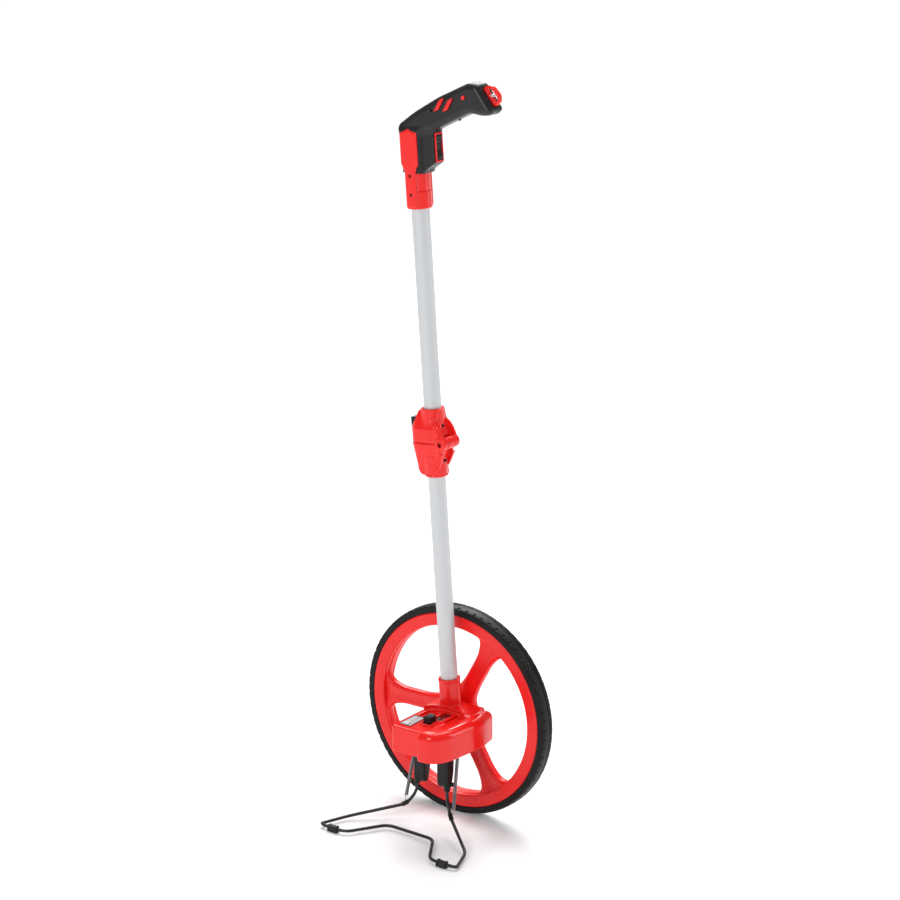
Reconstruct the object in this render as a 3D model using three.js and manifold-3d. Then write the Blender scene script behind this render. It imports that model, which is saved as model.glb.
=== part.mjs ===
// A folding measuring wheel: wheel, counter housing, folding stand, folding pole and grip handle.
// Millimetres, +Z up. The wheel rolls along X and its axle lies along Y. The grip points to +X.
import * as THREE from 'three';
import { mergeVertices } from 'three/addons/utils/BufferGeometryUtils.js';
import Module from 'manifold-3d';

const wasm = await Module();
wasm.setup();

// ---------------------------------------------------------------- driving dimensions
const CIRCUMFERENCE = 1000;
const WHEEL_RADIUS = CIRCUMFERENCE / (2 * Math.PI);
const AXLE_Z = WHEEL_RADIUS;
const TYRE_WIDTH = 25.4;
const RIM_OUTER = 147.9;
const RIM_INNER = 129;
const SPOKE_ANGLES = [61, 181, 301];
const SPOKE_HALF_WIDTH = 8;
const HUB_RADIUS = 34;
const HUB_HALF_WIDTH = 9;
const BUSH_RADIUS = 8;
const AXLE_RADIUS = 5;
const CENTRE_SHIFT_Y = 78.75; // puts the origin at the middle of the whole object's footprint
const GAP = 0.3;

const POLE_TILT = 4.14; // degrees, leaning towards -X as it rises
const POLE_Y = -36;
const TUBE_RADIUS = 12.5;
const TUBE_WALL = 1.5;
const HINGE_X = -15.9; // where the pole's axis passes the fold
const HINGE_Z = 570;
const HINGE_HALF_HEIGHT = 49;
const PIVOT_OFFSET = 21.5; // pole axis to fold pin
const FOLD_PIN_RADIUS = 2.5;
const COLLAR_RADIUS = 16;
const SCREW_RADIUS = 1.6;

const HOUSING_BOTTOM = 137;
const HOUSING_TOP = 176;
const HOUSING_BACK_Y = -18.5;
const WALL = 2.6;

const STAND_PIVOT_Y = -62;
const STAND_PIVOT_Z = 122;
const STAND_PIN_RADIUS = 3;
const WIRE_RADIUS = 2.4;
const WIRE_FLOOR_Z = 6;

const COUNTER_X = 24;
const DRUM_RADIUS = 9.2;
const DRUM_WIDTH = 5.4;
const DRUM_PITCH = 6;
const DRUM_FIRST_Y = -57;
const DRUM_COUNT = 5;
const SHAFT_RADIUS = 2;
const GEAR_TEETH = 16;

// ---------------------------------------------------------------- materials
const plastic = (color, roughness) => new THREE.MeshStandardMaterial({ color, roughness, metalness: 0 });
const metal = (color, roughness) => new THREE.MeshStandardMaterial({ color, roughness, metalness: 1 });
const RED = () => plastic(0xe0202a, 0.28);
const BLACK = () => plastic(0x17181a, 0.5);
const RUBBER = () => plastic(0x1e1f21, 0.85);
const SOFT_GRIP = () => plastic(0x2a2c2f, 0.65);
const WHITE = () => plastic(0xf0f0ec, 0.4);
const GREY = () => plastic(0x4a4d52, 0.4);
const CLEAR = () => plastic(0xdfe6ea, 0.08);
const ALUMINIUM = () => metal(0xc9cacc, 0.35);
const STEEL = () => metal(0x9a9da1, 0.3);
const BLACK_WIRE = () => metal(0x24262a, 0.4);
const BRASS = () => metal(0xb08d4a, 0.35);

// ---------------------------------------------------------------- shape helpers
const rad = THREE.MathUtils.degToRad;

function solid(geometry) {
  const bare = geometry.clone();
  bare.deleteAttribute('normal');
  bare.deleteAttribute('uv');
  const merged = mergeVertices(bare, 1e-4);
  return new wasm.Manifold(new wasm.Mesh({
    numProp: 3,
    vertProperties: Float32Array.from(merged.attributes.position.array),
    triVerts: Uint32Array.from(merged.index.array),
  }));
}

function toGeometry(body) {
  const mesh = body.getMesh();
  const geometry = new THREE.BufferGeometry();
  geometry.setAttribute('position', new THREE.BufferAttribute(mesh.vertProperties, 3));
  geometry.setIndex(new THREE.BufferAttribute(mesh.triVerts, 1));
  geometry.computeVertexNormals();
  return geometry;
}

const join = (first, ...rest) => rest.reduce((sum, body) => sum.add(body), first);
const cut = (first, ...rest) => rest.reduce((left, body) => left.subtract(body), first);

function block(x0, x1, y0, y1, z0, z1) {
  const geometry = new THREE.BoxGeometry(x1 - x0, y1 - y0, z1 - z0);
  geometry.translate((x0 + x1) / 2, (y0 + y1) / 2, (z0 + z1) / 2);
  return solid(geometry);
}

function polygon(points) {
  return new THREE.Shape(points.map(([x, y]) => new THREE.Vector2(x, y)));
}

// A shape drawn in X and Y, raised from z0 to z1.
function raise(shape, z0, z1) {
  const geometry = new THREE.ExtrudeGeometry(shape, { depth: z1 - z0, bevelEnabled: false });
  geometry.translate(0, 0, z0);
  return solid(geometry);
}

// A shape drawn in X and Z, given thickness from y0 to y1.
function slab(shape, y0, y1, curveSegments = 12) {
  const geometry = new THREE.ExtrudeGeometry(shape, { depth: y1 - y0, bevelEnabled: false, curveSegments });
  geometry.rotateX(Math.PI / 2);
  geometry.translate(0, y1, 0);
  return solid(geometry);
}

// The same with rounded side edges: the faces at y0 and y1 are smaller by the edge radius.
function softSlab(shape, y0, y1, edge) {
  const geometry = new THREE.ExtrudeGeometry(shape, {
    depth: y1 - y0 - 2 * edge, bevelEnabled: true, bevelThickness: edge, bevelSize: edge,
    bevelOffset: -edge, bevelSegments: 3, curveSegments: 8,
  });
  geometry.rotateX(Math.PI / 2);
  geometry.translate(0, y1 - edge, 0);
  return solid(geometry);
}

// A disc or bar along X, Y or Z between two places on that axis.
function rod(axis, radius, from, to, at = [0, 0], sides = 24) {
  const geometry = new THREE.CylinderGeometry(radius, radius, to - from, sides);
  const middle = (from + to) / 2;
  if (axis === 'x') geometry.rotateZ(Math.PI / 2).translate(middle, at[0], at[1]);
  if (axis === 'y') geometry.translate(at[0], middle, at[1]);
  if (axis === 'z') geometry.rotateX(Math.PI / 2).translate(at[0], at[1], middle);
  return solid(geometry);
}

const ring = (axis, outer, inner, from, to, at, sides) => cut(
  rod(axis, outer, from, to, at, sides),
  rod(axis, inner, from - 1, to + 1, at, sides),
);

// A body turned about the wheel's axle from a closed profile of [radius, y].
function turned(profile, sides) {
  const closed = [...profile, profile[0]].map(([radius, y]) => new THREE.Vector2(radius, y));
  const geometry = new THREE.LatheGeometry(closed, sides);
  return solid(geometry);
}

// A path of straight runs with rounded corners.
function bentPath(points, bend) {
  const path = new THREE.CurvePath();
  const corners = points.map((p) => new THREE.Vector3(...p));
  let start = corners[0];
  for (let i = 1; i < corners.length - 1; i += 1) {
    const corner = corners[i];
    const previous = corners[i - 1];
    const next = corners[i + 1];
    const reach = Math.min(bend, corner.distanceTo(previous) / 2.2, corner.distanceTo(next) / 2.2);
    const before = corner.clone().add(previous.clone().sub(corner).setLength(reach));
    const after = corner.clone().add(next.clone().sub(corner).setLength(reach));
    path.add(new THREE.LineCurve3(start, before));
    path.add(new THREE.QuadraticBezierCurve3(before, corner, after));
    start = after;
  }
  path.add(new THREE.LineCurve3(start, corners[corners.length - 1]));
  return path;
}

function circleShape(radius, sides) {
  const points = [];
  for (let i = 0; i < sides; i += 1) {
    const angle = (2 * Math.PI * i) / sides;
    points.push([radius * Math.cos(angle), radius * Math.sin(angle)]);
  }
  return polygon(points);
}

function wire(points, radius, bend, steps) {
  const geometry = new THREE.ExtrudeGeometry(circleShape(radius, 8), {
    steps, bevelEnabled: false, extrudePath: bentPath(points, bend),
  });
  return solid(geometry);
}

// A polygon moved inwards by a wall thickness.
function inset(points, amount) {
  const count = points.length;
  return points.map((point, i) => {
    const before = points[(i + count - 1) % count];
    const after = points[(i + 1) % count];
    const a = new THREE.Vector2(point[0] - before[0], point[1] - before[1]).normalize();
    const b = new THREE.Vector2(after[0] - point[0], after[1] - point[1]).normalize();
    const inward = new THREE.Vector2(-a.y - b.y, a.x + b.x).normalize();
    const share = Math.max(inward.dot(new THREE.Vector2(-a.y, a.x)), 0.4);
    return [point[0] + (inward.x * amount) / share, point[1] + (inward.y * amount) / share];
  });
}

// ---------------------------------------------------------------- scene graph
const wheelFrame = new THREE.Group();
wheelFrame.position.set(0, CENTRE_SHIFT_Y, 0);

const poleFrame = new THREE.Group(); // origin where the pole's axis passes the fold, Z along the pole
poleFrame.position.set(HINGE_X, POLE_Y, HINGE_Z);
poleFrame.rotation.y = -rad(POLE_TILT);
wheelFrame.add(poleFrame);

function place(group, name, body, material) {
  const mesh = new THREE.Mesh(toGeometry(body), material);
  mesh.name = name;
  group.add(mesh);
  return mesh;
}

// ---------------------------------------------------------------- wheel
function tyre() {
  const half = TYRE_WIDTH / 2;
  const shoulder = WHEEL_RADIUS - 3;
  const groove = WHEEL_RADIUS - 1.4;
  const profile = [
    [RIM_OUTER + GAP, -half], [shoulder, -half], [WHEEL_RADIUS - 0.8, -half + 3], [WHEEL_RADIUS, -half + 6],
    [WHEEL_RADIUS, 1.5], [groove, 2], [groove, 3], [WHEEL_RADIUS, 3.5],
    [WHEEL_RADIUS, 6], [groove, 6.4], [groove, 7.2], [WHEEL_RADIUS - 0.4, 7.6],
    [WHEEL_RADIUS - 0.8, half - 3], [shoulder, half], [RIM_OUTER + GAP, half],
  ];
  return turned(profile, 96).translate(0, 0, AXLE_Z);
}

// One spoke, narrow in the middle and flaring into the hub and the rim.
function spoke(angle) {
  const outline = new THREE.Shape();
  const reach = RIM_INNER + 2;
  outline.moveTo(0, -30);
  outline.quadraticCurveTo(34, -14, 70, -13);
  outline.quadraticCurveTo(112, -13, reach, -27);
  outline.lineTo(reach, 27);
  outline.quadraticCurveTo(112, 13, 70, 13);
  outline.quadraticCurveTo(34, 14, 0, 30);
  outline.closePath();
  return slab(outline, -SPOKE_HALF_WIDTH, SPOKE_HALF_WIDTH).rotate([0, -angle, 0]);
}

function wheelRim() {
  const half = TYRE_WIDTH / 2;
  const band = turned([
    [RIM_INNER, -half], [RIM_OUTER, -half], [RIM_OUTER, half], [RIM_INNER, half],
    [RIM_INNER, half - 2], [RIM_INNER + 3, half - 4], [RIM_INNER + 3, 4 - half], [RIM_INNER, 2 - half],
  ], 96);
  const hub = rod('y', HUB_RADIUS, -HUB_HALF_WIDTH, HUB_HALF_WIDTH, [0, 0], 48);
  const bore = rod('y', BUSH_RADIUS + GAP, -half, half, [0, 0], 32);
  const spokes = SPOKE_ANGLES.map(spoke);
  return cut(join(band, hub, ...spokes), bore).translate(0, 0, AXLE_Z);
}

function gear(radius, bore, from, to, toothTurn) {
  const points = [];
  const root = -1.35;
  const tip = 0.95;
  for (let i = 0; i < GEAR_TEETH; i += 1) {
    const middle = ((i + toothTurn) / GEAR_TEETH) * 2 * Math.PI;
    const pitch = (2 * Math.PI) / GEAR_TEETH;
    [[-0.33, root], [-0.12, tip], [0.12, tip], [0.33, root]].forEach(([turn, rise]) => {
      const angle = middle + turn * pitch;
      points.push([(radius + rise) * Math.cos(angle), (radius + rise) * Math.sin(angle)]);
    });
  }
  return cut(slab(polygon(points), from, to), rod('y', bore, from - 1, to + 1));
}

const GEAR_RADIUS = COUNTER_X / 2;
const HUB_FACE = HUB_HALF_WIDTH + GAP;
const NUT_BACK = HUB_HALF_WIDTH + 4;

function buildWheel() {
  place(wheelFrame, 'tyre', tyre(), RUBBER());
  place(wheelFrame, 'wheel_rim', wheelRim(), RED());
  const bushRing = (radius, from, to) => ring('y', radius, AXLE_RADIUS + GAP, from, to, [0, AXLE_Z], 32);
  const outerBush = join(
    bushRing(BUSH_RADIUS, GAP, HUB_FACE + 2),
    bushRing(BUSH_RADIUS + 2, HUB_FACE, HUB_FACE + 2),
  );
  place(wheelFrame, 'outer_bush', outerBush, BRASS());
  place(wheelFrame, 'inner_bush', bushRing(BUSH_RADIUS, -HUB_FACE, -GAP), BRASS());
  const driveGear = gear(GEAR_RADIUS, AXLE_RADIUS + GAP, -HUB_FACE - 6, -HUB_FACE, 0);
  place(wheelFrame, 'drive_gear', driveGear.translate(0, 0, AXLE_Z), WHITE());
  const cap = turned([[20, HUB_FACE], [22, HUB_FACE], [22, NUT_BACK + 3], [18, NUT_BACK + 7],
    [0, NUT_BACK + 7], [0, NUT_BACK + 5], [16, NUT_BACK + 5], [20, NUT_BACK + 2]], 40);
  place(wheelFrame, 'hub_cap', cap.translate(0, 0, AXLE_Z), RED());
  const axle = join(
    rod('y', AXLE_RADIUS, -26, NUT_BACK + 3.5, [0, AXLE_Z]),
    rod('y', 11, -28.5, -25.5, [0, AXLE_Z], 32),
  );
  place(wheelFrame, 'axle', axle, STEEL());
  const nut = cut(rod('y', 9, HUB_FACE + 2.3, HUB_FACE + 7, [0, AXLE_Z], 6),
    rod('y', AXLE_RADIUS + GAP, HUB_FACE, HUB_FACE + 10, [0, AXLE_Z], 24));
  place(wheelFrame, 'axle_nut', nut, STEEL());
}

// ---------------------------------------------------------------- counter housing
const BOX_LEFT = -15;
const BOX_RIGHT = 38;
const BOX_FRONT_Y = -140;
const POCKET = { x0: -7, x1: 46, y0: -89, y1: -54, floor: 171.5 };
const KNOB = { x: 26, y: -105, width: 13, length: 19, seat: 174.6, bottom: 178.2, top: 191, stem: 4 };
const LABEL = { x0: -9, x1: 10, y0: -130, y1: -93 };
const SOCKET_TOP = 220;
const SOCKET_RADIUS = 17;
const SOCKET_BASE_Z = 200;
const SOCKET_X = HINGE_X + (HINGE_Z - SOCKET_BASE_Z) * Math.tan(rad(POLE_TILT));

function bodyPlan() {
  return [[BOX_RIGHT, -151], [54, -150.5], [64, -146], [72, -136], [77, -122], [80, -96], [82.5, -72],
    [82, -46], [76, HOUSING_BACK_Y], [-4, HOUSING_BACK_Y], [20, -90]];
}

const CROWN = 12; // radius of the soft edge round the body's top
const CROWN_TOP = 181;
const UNDER_HOUSING = block(-200, 200, -300, 100, 0, HOUSING_BOTTOM);

function crownedBody(plan, top) {
  const straight = 60;
  const geometry = new THREE.ExtrudeGeometry(polygon(plan), {
    depth: straight, bevelEnabled: true, bevelThickness: CROWN, bevelSize: CROWN, bevelOffset: -CROWN,
    bevelSegments: 4,
  });
  geometry.translate(0, 0, top - straight - CROWN);
  return solid(geometry);
}

const boxPlan = () => [[BOX_LEFT, BOX_FRONT_Y], [BOX_RIGHT + 4, BOX_FRONT_Y], [BOX_RIGHT + 4, HOUSING_BACK_Y],
  [BOX_LEFT + 3, HOUSING_BACK_Y], [BOX_LEFT, HOUSING_BACK_Y - 3]];

// A cylinder on the lower tube's axis, between two heights.
const alongPole = (radius, from, to) => rod('z', radius, from, to, [0, 0], 32)
  .translate(0, 0, -SOCKET_BASE_Z).rotate([0, -POLE_TILT, 0]).translate(SOCKET_X, POLE_Y, SOCKET_BASE_Z);

function housingShell() {
  const humpPlan = [[-10, -54], [58, -54], [64, HOUSING_BACK_Y - 2], [-2, HOUSING_BACK_Y - 2], [-10, -32]];
  const outside = cut(join(
    raise(polygon(boxPlan()), HOUSING_BOTTOM, HOUSING_TOP),
    crownedBody(bodyPlan(), CROWN_TOP),
    raise(polygon(humpPlan), 160, 182),
    rod('z', 14, 165, 179.5, [KNOB.x, KNOB.y], 32),
    alongPole(SOCKET_RADIUS, 172, SOCKET_TOP),
  ), UNDER_HOUSING);

  const hollow = cut(
    join(
      raise(polygon(inset(boxPlan(), WALL)), HOUSING_BOTTOM - 1, HOUSING_TOP - WALL),
      crownedBody(inset(bodyPlan(), WALL), CROWN_TOP - WALL),
    ),
    block(POCKET.x0 - 2, POCKET.x1 + 2, POCKET.y0 - 2, POCKET.y1 + 2, POCKET.floor - 2, 190),
  );
  const pocket = block(POCKET.x0, POCKET.x1, POCKET.y0, POCKET.y1, POCKET.floor, 190);
  const tubeBore = alongPole(TUBE_RADIUS + GAP, 183, 260);
  const knobSeat = rod('z', 11.8, KNOB.seat, 200, [KNOB.x, KNOB.y], 32);
  const knobBoss = rod('z', 12.5, 168, KNOB.seat, [KNOB.x, KNOB.y], 32);
  const walls = join(cut(outside, hollow, pocket, knobSeat, tubeBore), knobBoss);

  return cut(
    walls,
    block(COUNTER_X - 7, COUNTER_X + 7, POCKET.y0 + 3, POCKET.y1 - 1, 160, 190),
    rod('y', AXLE_RADIUS + GAP, -30, 0, [0, AXLE_Z]),
    rod('y', SHAFT_RADIUS + 0.6, -30, 0, [COUNTER_X, AXLE_Z]),
    rod('z', KNOB.stem + 0.4, 160, 190, [KNOB.x, KNOB.y]),
  );
}

function coverPlan(edge) {
  return inset([[BOX_LEFT, BOX_FRONT_Y], [BOX_RIGHT, BOX_FRONT_Y], ...bodyPlan().slice(0, 9),
    [BOX_LEFT + 3, HOUSING_BACK_Y], [BOX_LEFT, HOUSING_BACK_Y - 3]], edge);
}

const COVER_TOP = HOUSING_BOTTOM + 3;
const STEM_FOOT = 158;
const COVER_SCREWS = [[-6, -131], [62, -132], [70, -34], [-7, -28]];

function buildHousing() {
  place(wheelFrame, 'housing_shell', housingShell(), RED());
  const cover = raise(polygon(coverPlan(WALL + GAP)), HOUSING_BOTTOM + 0.2, COVER_TOP);
  const holes = COVER_SCREWS.map((at) => rod('z', SCREW_RADIUS + GAP, 130, 150, at, 16));
  place(wheelFrame, 'bottom_cover', cut(cover, ...holes), BLACK());
  COVER_SCREWS.forEach((at, i) => {
    const screw = join(rod('z', SCREW_RADIUS, 135.4, 146, at, 12), rod('z', 3, 135.2, 136.9, at, 16));
    place(wheelFrame, `cover_screw_${i + 1}`, screw, STEEL());
  });
  const lens = block(COUNTER_X - 9.5, COUNTER_X + 9.5, POCKET.y0 + 1, POCKET.y1 - 0.5,
    POCKET.floor + GAP, POCKET.floor + 2);
  place(wheelFrame, 'window_lens', lens, CLEAR());
  const label = block(LABEL.x0, LABEL.x1, LABEL.y0, LABEL.y1, HOUSING_TOP + GAP, HOUSING_TOP + 1.1);
  place(wheelFrame, 'label_plate', label, GREY());
  const knob = join(
    softSlabUp(KNOB.x, KNOB.y, KNOB.width, KNOB.length, KNOB.bottom, KNOB.top, 2),
    rod('z', KNOB.stem, STEM_FOOT, KNOB.bottom + 1, [KNOB.x, KNOB.y]),
    rod('z', KNOB.stem + 2, STEM_FOOT, STEM_FOOT + 2, [KNOB.x, KNOB.y]),
  );
  place(wheelFrame, 'reset_knob', knob, BLACK());
  const spring = ring('z', 5, 3.8, COVER_TOP + GAP, STEM_FOOT - GAP, [KNOB.x, KNOB.y], 20);
  place(wheelFrame, 'reset_spring', spring, STEEL());
}

// A block with rounded top and bottom edges, centred on [x, y].
function softSlabUp(x, y, width, length, z0, z1, edge) {
  const shape = polygon([[-width / 2, -length / 2], [width / 2, -length / 2], [width / 2, length / 2],
    [-width / 2, length / 2]]);
  const geometry = new THREE.ExtrudeGeometry(shape, {
    depth: z1 - z0 - 2 * edge, bevelEnabled: true, bevelThickness: edge, bevelSize: edge,
    bevelOffset: -edge, bevelSegments: 3,
  });
  geometry.translate(x, y, z0 + edge);
  return solid(geometry);
}

// ---------------------------------------------------------------- counter
function buildCounter() {
  const last = DRUM_FIRST_Y - DRUM_COUNT * DRUM_PITCH;
  const shaft = rod('y', SHAFT_RADIUS, last - 4, -HUB_FACE - 0.2, [COUNTER_X, AXLE_Z]);
  place(wheelFrame, 'counter_shaft', shaft, STEEL());
  const input = gear(GEAR_RADIUS, SHAFT_RADIUS + GAP, -HUB_FACE - 5.5, -HUB_FACE - 0.5, 0.5);
  place(wheelFrame, 'counter_gear', input.translate(COUNTER_X, 0, AXLE_Z), WHITE());
  for (let i = 0; i < DRUM_COUNT; i += 1) {
    const y1 = DRUM_FIRST_Y - i * DRUM_PITCH;
    const drum = ring('y', DRUM_RADIUS, SHAFT_RADIUS + GAP, y1 - DRUM_WIDTH, y1, [COUNTER_X, AXLE_Z], 30);
    place(wheelFrame, `digit_drum_${i + 1}`, drum, i === 0 ? RED() : WHITE());
  }
  const wallHole = rod('y', SHAFT_RADIUS + GAP, -200, 0, [COUNTER_X, AXLE_Z]);
  const frame = cut(join(
    block(COUNTER_X - 11, COUNTER_X + 11, last - 3, DRUM_FIRST_Y + 3, 141, 143),
    block(COUNTER_X - 6, COUNTER_X + 6, DRUM_FIRST_Y + 1, DRUM_FIRST_Y + 3, 142, 166),
    block(COUNTER_X - 6, COUNTER_X + 6, last - 3, last - 1, 142, 166),
  ), wallHole);
  place(wheelFrame, 'counter_frame', frame, STEEL());
}

// ---------------------------------------------------------------- folding stand
const ARM_INNER = 11;
const ARM_OUTER = 31;
const LEG_X = 26.8;
const MOUNT_HALF_WIDTH = 33;
const ANCHOR = { x: 36.2, y: -49.6, z: 132.1, radius: 1.2 }; // a stand spring's upper hook
const SPRING_FOOT = { x: 43.7, y: -73, z: 25.5 };

function standRoute() {
  const half = [[LEG_X, -65, 84], [LEG_X, -65, 46], [39, -73.5, 24.5], [106, -127, WIRE_FLOOR_Z],
    [122, -170, WIRE_FLOOR_Z], [116, -173, WIRE_FLOOR_Z], [76, -173, WIRE_FLOOR_Z],
    [41, -117.5, WIRE_FLOOR_Z]];
  const mirrored = half.map(([x, y, z]) => [-x, y, z]).reverse();
  return [...half, ...mirrored];
}

function standArm(side) {
  const arm = new THREE.Shape(); // drawn in Y and Z about the pivot
  arm.absarc(0, 0, 8, 0, Math.PI, false);
  arm.lineTo(-8, -50);
  arm.lineTo(-5, -61);
  arm.lineTo(4, -61);
  arm.lineTo(14, -42);
  arm.lineTo(14, -16);
  arm.closePath();
  const geometry = new THREE.ExtrudeGeometry(arm, {
    depth: ARM_OUTER - ARM_INNER, bevelEnabled: false, curveSegments: 10,
  });
  geometry.rotateX(Math.PI / 2).rotateZ(Math.PI / 2);
  geometry.translate(ARM_INNER, STAND_PIVOT_Y, STAND_PIVOT_Z);
  const knob = rod('x', 3, ARM_OUTER - 1, ARM_OUTER + 3.5, [STAND_PIVOT_Y + 2, 68], 16);
  const pinHole = rod('x', STAND_PIN_RADIUS + GAP, 0, 60, [STAND_PIVOT_Y, STAND_PIVOT_Z], 16);
  const legHole = rod('z', WIRE_RADIUS + GAP, 50, 86, [LEG_X, -65], 16);
  const body = cut(join(solid(geometry), knob), pinHole, legHole);
  return side > 0 ? body : body.mirror([1, 0, 0]);
}

function standMount() {
  const plate = block(-MOUNT_HALF_WIDTH, MOUNT_HALF_WIDTH, -76, -38, 130.6, HOUSING_BOTTOM - GAP);
  const anchor = rod('x', ANCHOR.radius, -ANCHOR.x - 3, ANCHOR.x + 3, [ANCHOR.y, ANCHOR.z], 12);
  const anchorHeads = [-1, 1].map((side) => rod('x', 2.4, side * (ANCHOR.x + 2.4) - 0.7,
    side * (ANCHOR.x + 2.4) + 0.7, [ANCHOR.y, ANCHOR.z], 12));
  const lug = join(
    block(-9, 9, STAND_PIVOT_Y - 7, STAND_PIVOT_Y + 7, STAND_PIVOT_Z, 132),
    rod('x', 7, -9, 9, [STAND_PIVOT_Y, STAND_PIVOT_Z], 24),
  );
  const pinHole = rod('x', STAND_PIN_RADIUS + GAP, -60, 60, [STAND_PIVOT_Y, STAND_PIVOT_Z], 16);
  return join(cut(join(plate, lug), pinHole), anchor, ...anchorHeads);
}

function standFoot(side) {
  const body = softSlab(polygon([[-9, 0], [9, 0], [9, 10.4], [-9, 10.4]]), -177.5, -168.5, 0.8);
  const hole = rod('x', WIRE_RADIUS + GAP, -20, 20, [-173, WIRE_FLOOR_Z], 16);
  return cut(body, hole).translate(side * 98, 0, 0);
}

function standSpring(side) {
  const top = new THREE.Vector3(ANCHOR.x, ANCHOR.y, ANCHOR.z);
  const foot = new THREE.Vector3(SPRING_FOOT.x, SPRING_FOOT.y, SPRING_FOOT.z);
  const along = foot.clone().sub(top);
  const length = along.length() - WIRE_RADIUS - ANCHOR.radius;
  const profile = [[0, 2], [0.8, 2], [0.8, 24], [2.75, 26], [2.75, length - 8], [0.8, length - 6],
    [0.8, length], [0, length]].map(([radius, y]) => new THREE.Vector2(radius, y));
  const geometry = new THREE.LatheGeometry(profile, 16);
  const turn = new THREE.Quaternion().setFromUnitVectors(new THREE.Vector3(0, 1, 0), along.normalize());
  geometry.applyQuaternion(turn);
  geometry.translate(top.x, top.y, top.z);
  const hook = ring('x', 2.8, 1.5, ANCHOR.x - 0.8, ANCHOR.x + 0.8, [ANCHOR.y, ANCHOR.z], 20);
  const body = join(solid(geometry), hook);
  return side > 0 ? body : body.mirror([1, 0, 0]);
}

function buildStand() {
  place(wheelFrame, 'stand_mount', standMount(), BLACK());
  const pin = rod('x', STAND_PIN_RADIUS, -ARM_OUTER - 2, ARM_OUTER + 2, [STAND_PIVOT_Y, STAND_PIVOT_Z]);
  place(wheelFrame, 'stand_pin', pin, STEEL());
  place(wheelFrame, 'stand_wire', wire(standRoute(), WIRE_RADIUS, 12, 150), BLACK_WIRE());
  [['left', -1], ['right', 1]].forEach(([word, side]) => {
    place(wheelFrame, `stand_arm_${word}`, standArm(side), BLACK());
    place(wheelFrame, `stand_foot_${word}`, standFoot(side), RUBBER());
    place(wheelFrame, `stand_spring_${word}`, standSpring(side), STEEL());
  });
}

// ---------------------------------------------------------------- pole and fold
const LATCH = { z0: 17, z1: 31, halfWidth: 7, front: -35, back: -19 };
const KNUCKLE_RADIUS = 9.5;
const KNUCKLE_HALF = 8;
const KNUCKLE_CLEARANCE = KNUCKLE_RADIUS + 0.7; // reach of the gap left for the other half's knuckle
const HINGE_HALF_WIDTH = 18;
const UPPER_SCREW_Z = 24;
const LOWER_SCREW_Z = -26;

function foldPlan() {
  const plan = new THREE.Shape(); // rounded at the front, which stands proud of the straight sides
  plan.moveTo(-15, -HINGE_HALF_WIDTH);
  plan.lineTo(34, -HINGE_HALF_WIDTH);
  plan.lineTo(34, HINGE_HALF_WIDTH);
  plan.lineTo(-15, HINGE_HALF_WIDTH);
  plan.absarc(-15, 0, 19.5, Math.PI / 2, (3 * Math.PI) / 2, false);
  return plan;
}

const knuckle = (y0, y1) => rod('y', KNUCKLE_RADIUS, y0, y1, [PIVOT_OFFSET, 0], 28);
const foldPinHole = () => rod('y', FOLD_PIN_RADIUS + GAP, -30, 30, [PIVOT_OFFSET, 0], 20);
const hingeScrewHole = (z) => rod('x', SCREW_RADIUS + GAP, 10, 40, [0, z], 16);

function hingeUpper() {
  const side = polygon([[-34.4, GAP], [29, GAP], [28, 6], [19, 28], [14, 32], [16, 46], [-16, 46],
    [-22, 33], [-28, 26], [-33, 14]]);
  const shaped = slab(side, -HINGE_HALF_WIDTH, HINGE_HALF_WIDTH).intersect(raise(foldPlan(), -5, 60));
  const collar = rod('z', COLLAR_RADIUS, 20, HINGE_HALF_HEIGHT, [0, 0], 32);
  const ears = join(
    knuckle(-HINGE_HALF_WIDTH, -KNUCKLE_HALF - GAP),
    knuckle(KNUCKLE_HALF + GAP, HINGE_HALF_WIDTH),
  );
  const bore = rod('z', TUBE_RADIUS + GAP, 12, 60, [0, 0], 32);
  const middleGap = block(PIVOT_OFFSET - KNUCKLE_CLEARANCE, 40, -KNUCKLE_HALF - GAP, KNUCKLE_HALF + GAP,
    -12, KNUCKLE_CLEARANCE);
  const latchSlot = block(-50, -10, -LATCH.halfWidth - GAP, LATCH.halfWidth + GAP,
    LATCH.z0 - GAP, LATCH.z1 + GAP);
  const body = join(shaped, collar, ears);
  return cut(body, bore, middleGap, foldPinHole(), latchSlot, hingeScrewHole(UPPER_SCREW_Z));
}

function hingeLower() {
  const side = polygon([[-33, -GAP], [-31, -12], [-28.5, -27], [-23, -40], [-16, -46], [16, -46],
    [13, -36], [15, -33], [28, -4], [29, -GAP]]);
  const shaped = slab(side, -HINGE_HALF_WIDTH, HINGE_HALF_WIDTH).intersect(raise(foldPlan(), -60, 5));
  const collar = rod('z', COLLAR_RADIUS, -HINGE_HALF_HEIGHT, -20, [0, 0], 32);
  const bore = rod('z', TUBE_RADIUS + GAP, -60, -12, [0, 0], 32);
  const earGap = (y0, y1) => block(PIVOT_OFFSET - KNUCKLE_CLEARANCE, 40, y0, y1, -KNUCKLE_CLEARANCE, 12);
  const foldedRelief = block(20.6, 40, -20, 20, -13.4, -8); // the upper half swings into this when folded
  const body = cut(
    join(shaped, collar), bore, earGap(-20, -KNUCKLE_HALF), earGap(KNUCKLE_HALF, 20),
    foldedRelief, hingeScrewHole(LOWER_SCREW_Z),
  );
  return cut(join(body, knuckle(-KNUCKLE_HALF, KNUCKLE_HALF)), foldPinHole());
}

const hingeScrew = (z) => rod('x', SCREW_RADIUS, 13, 18.5, [0, z], 12);

function tube(z0, z1) {
  return ring('z', TUBE_RADIUS, TUBE_RADIUS - TUBE_WALL, z0, z1, [0, 0], 40);
}

const LOWER_TUBE_FOOT_Z = 186;

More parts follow.
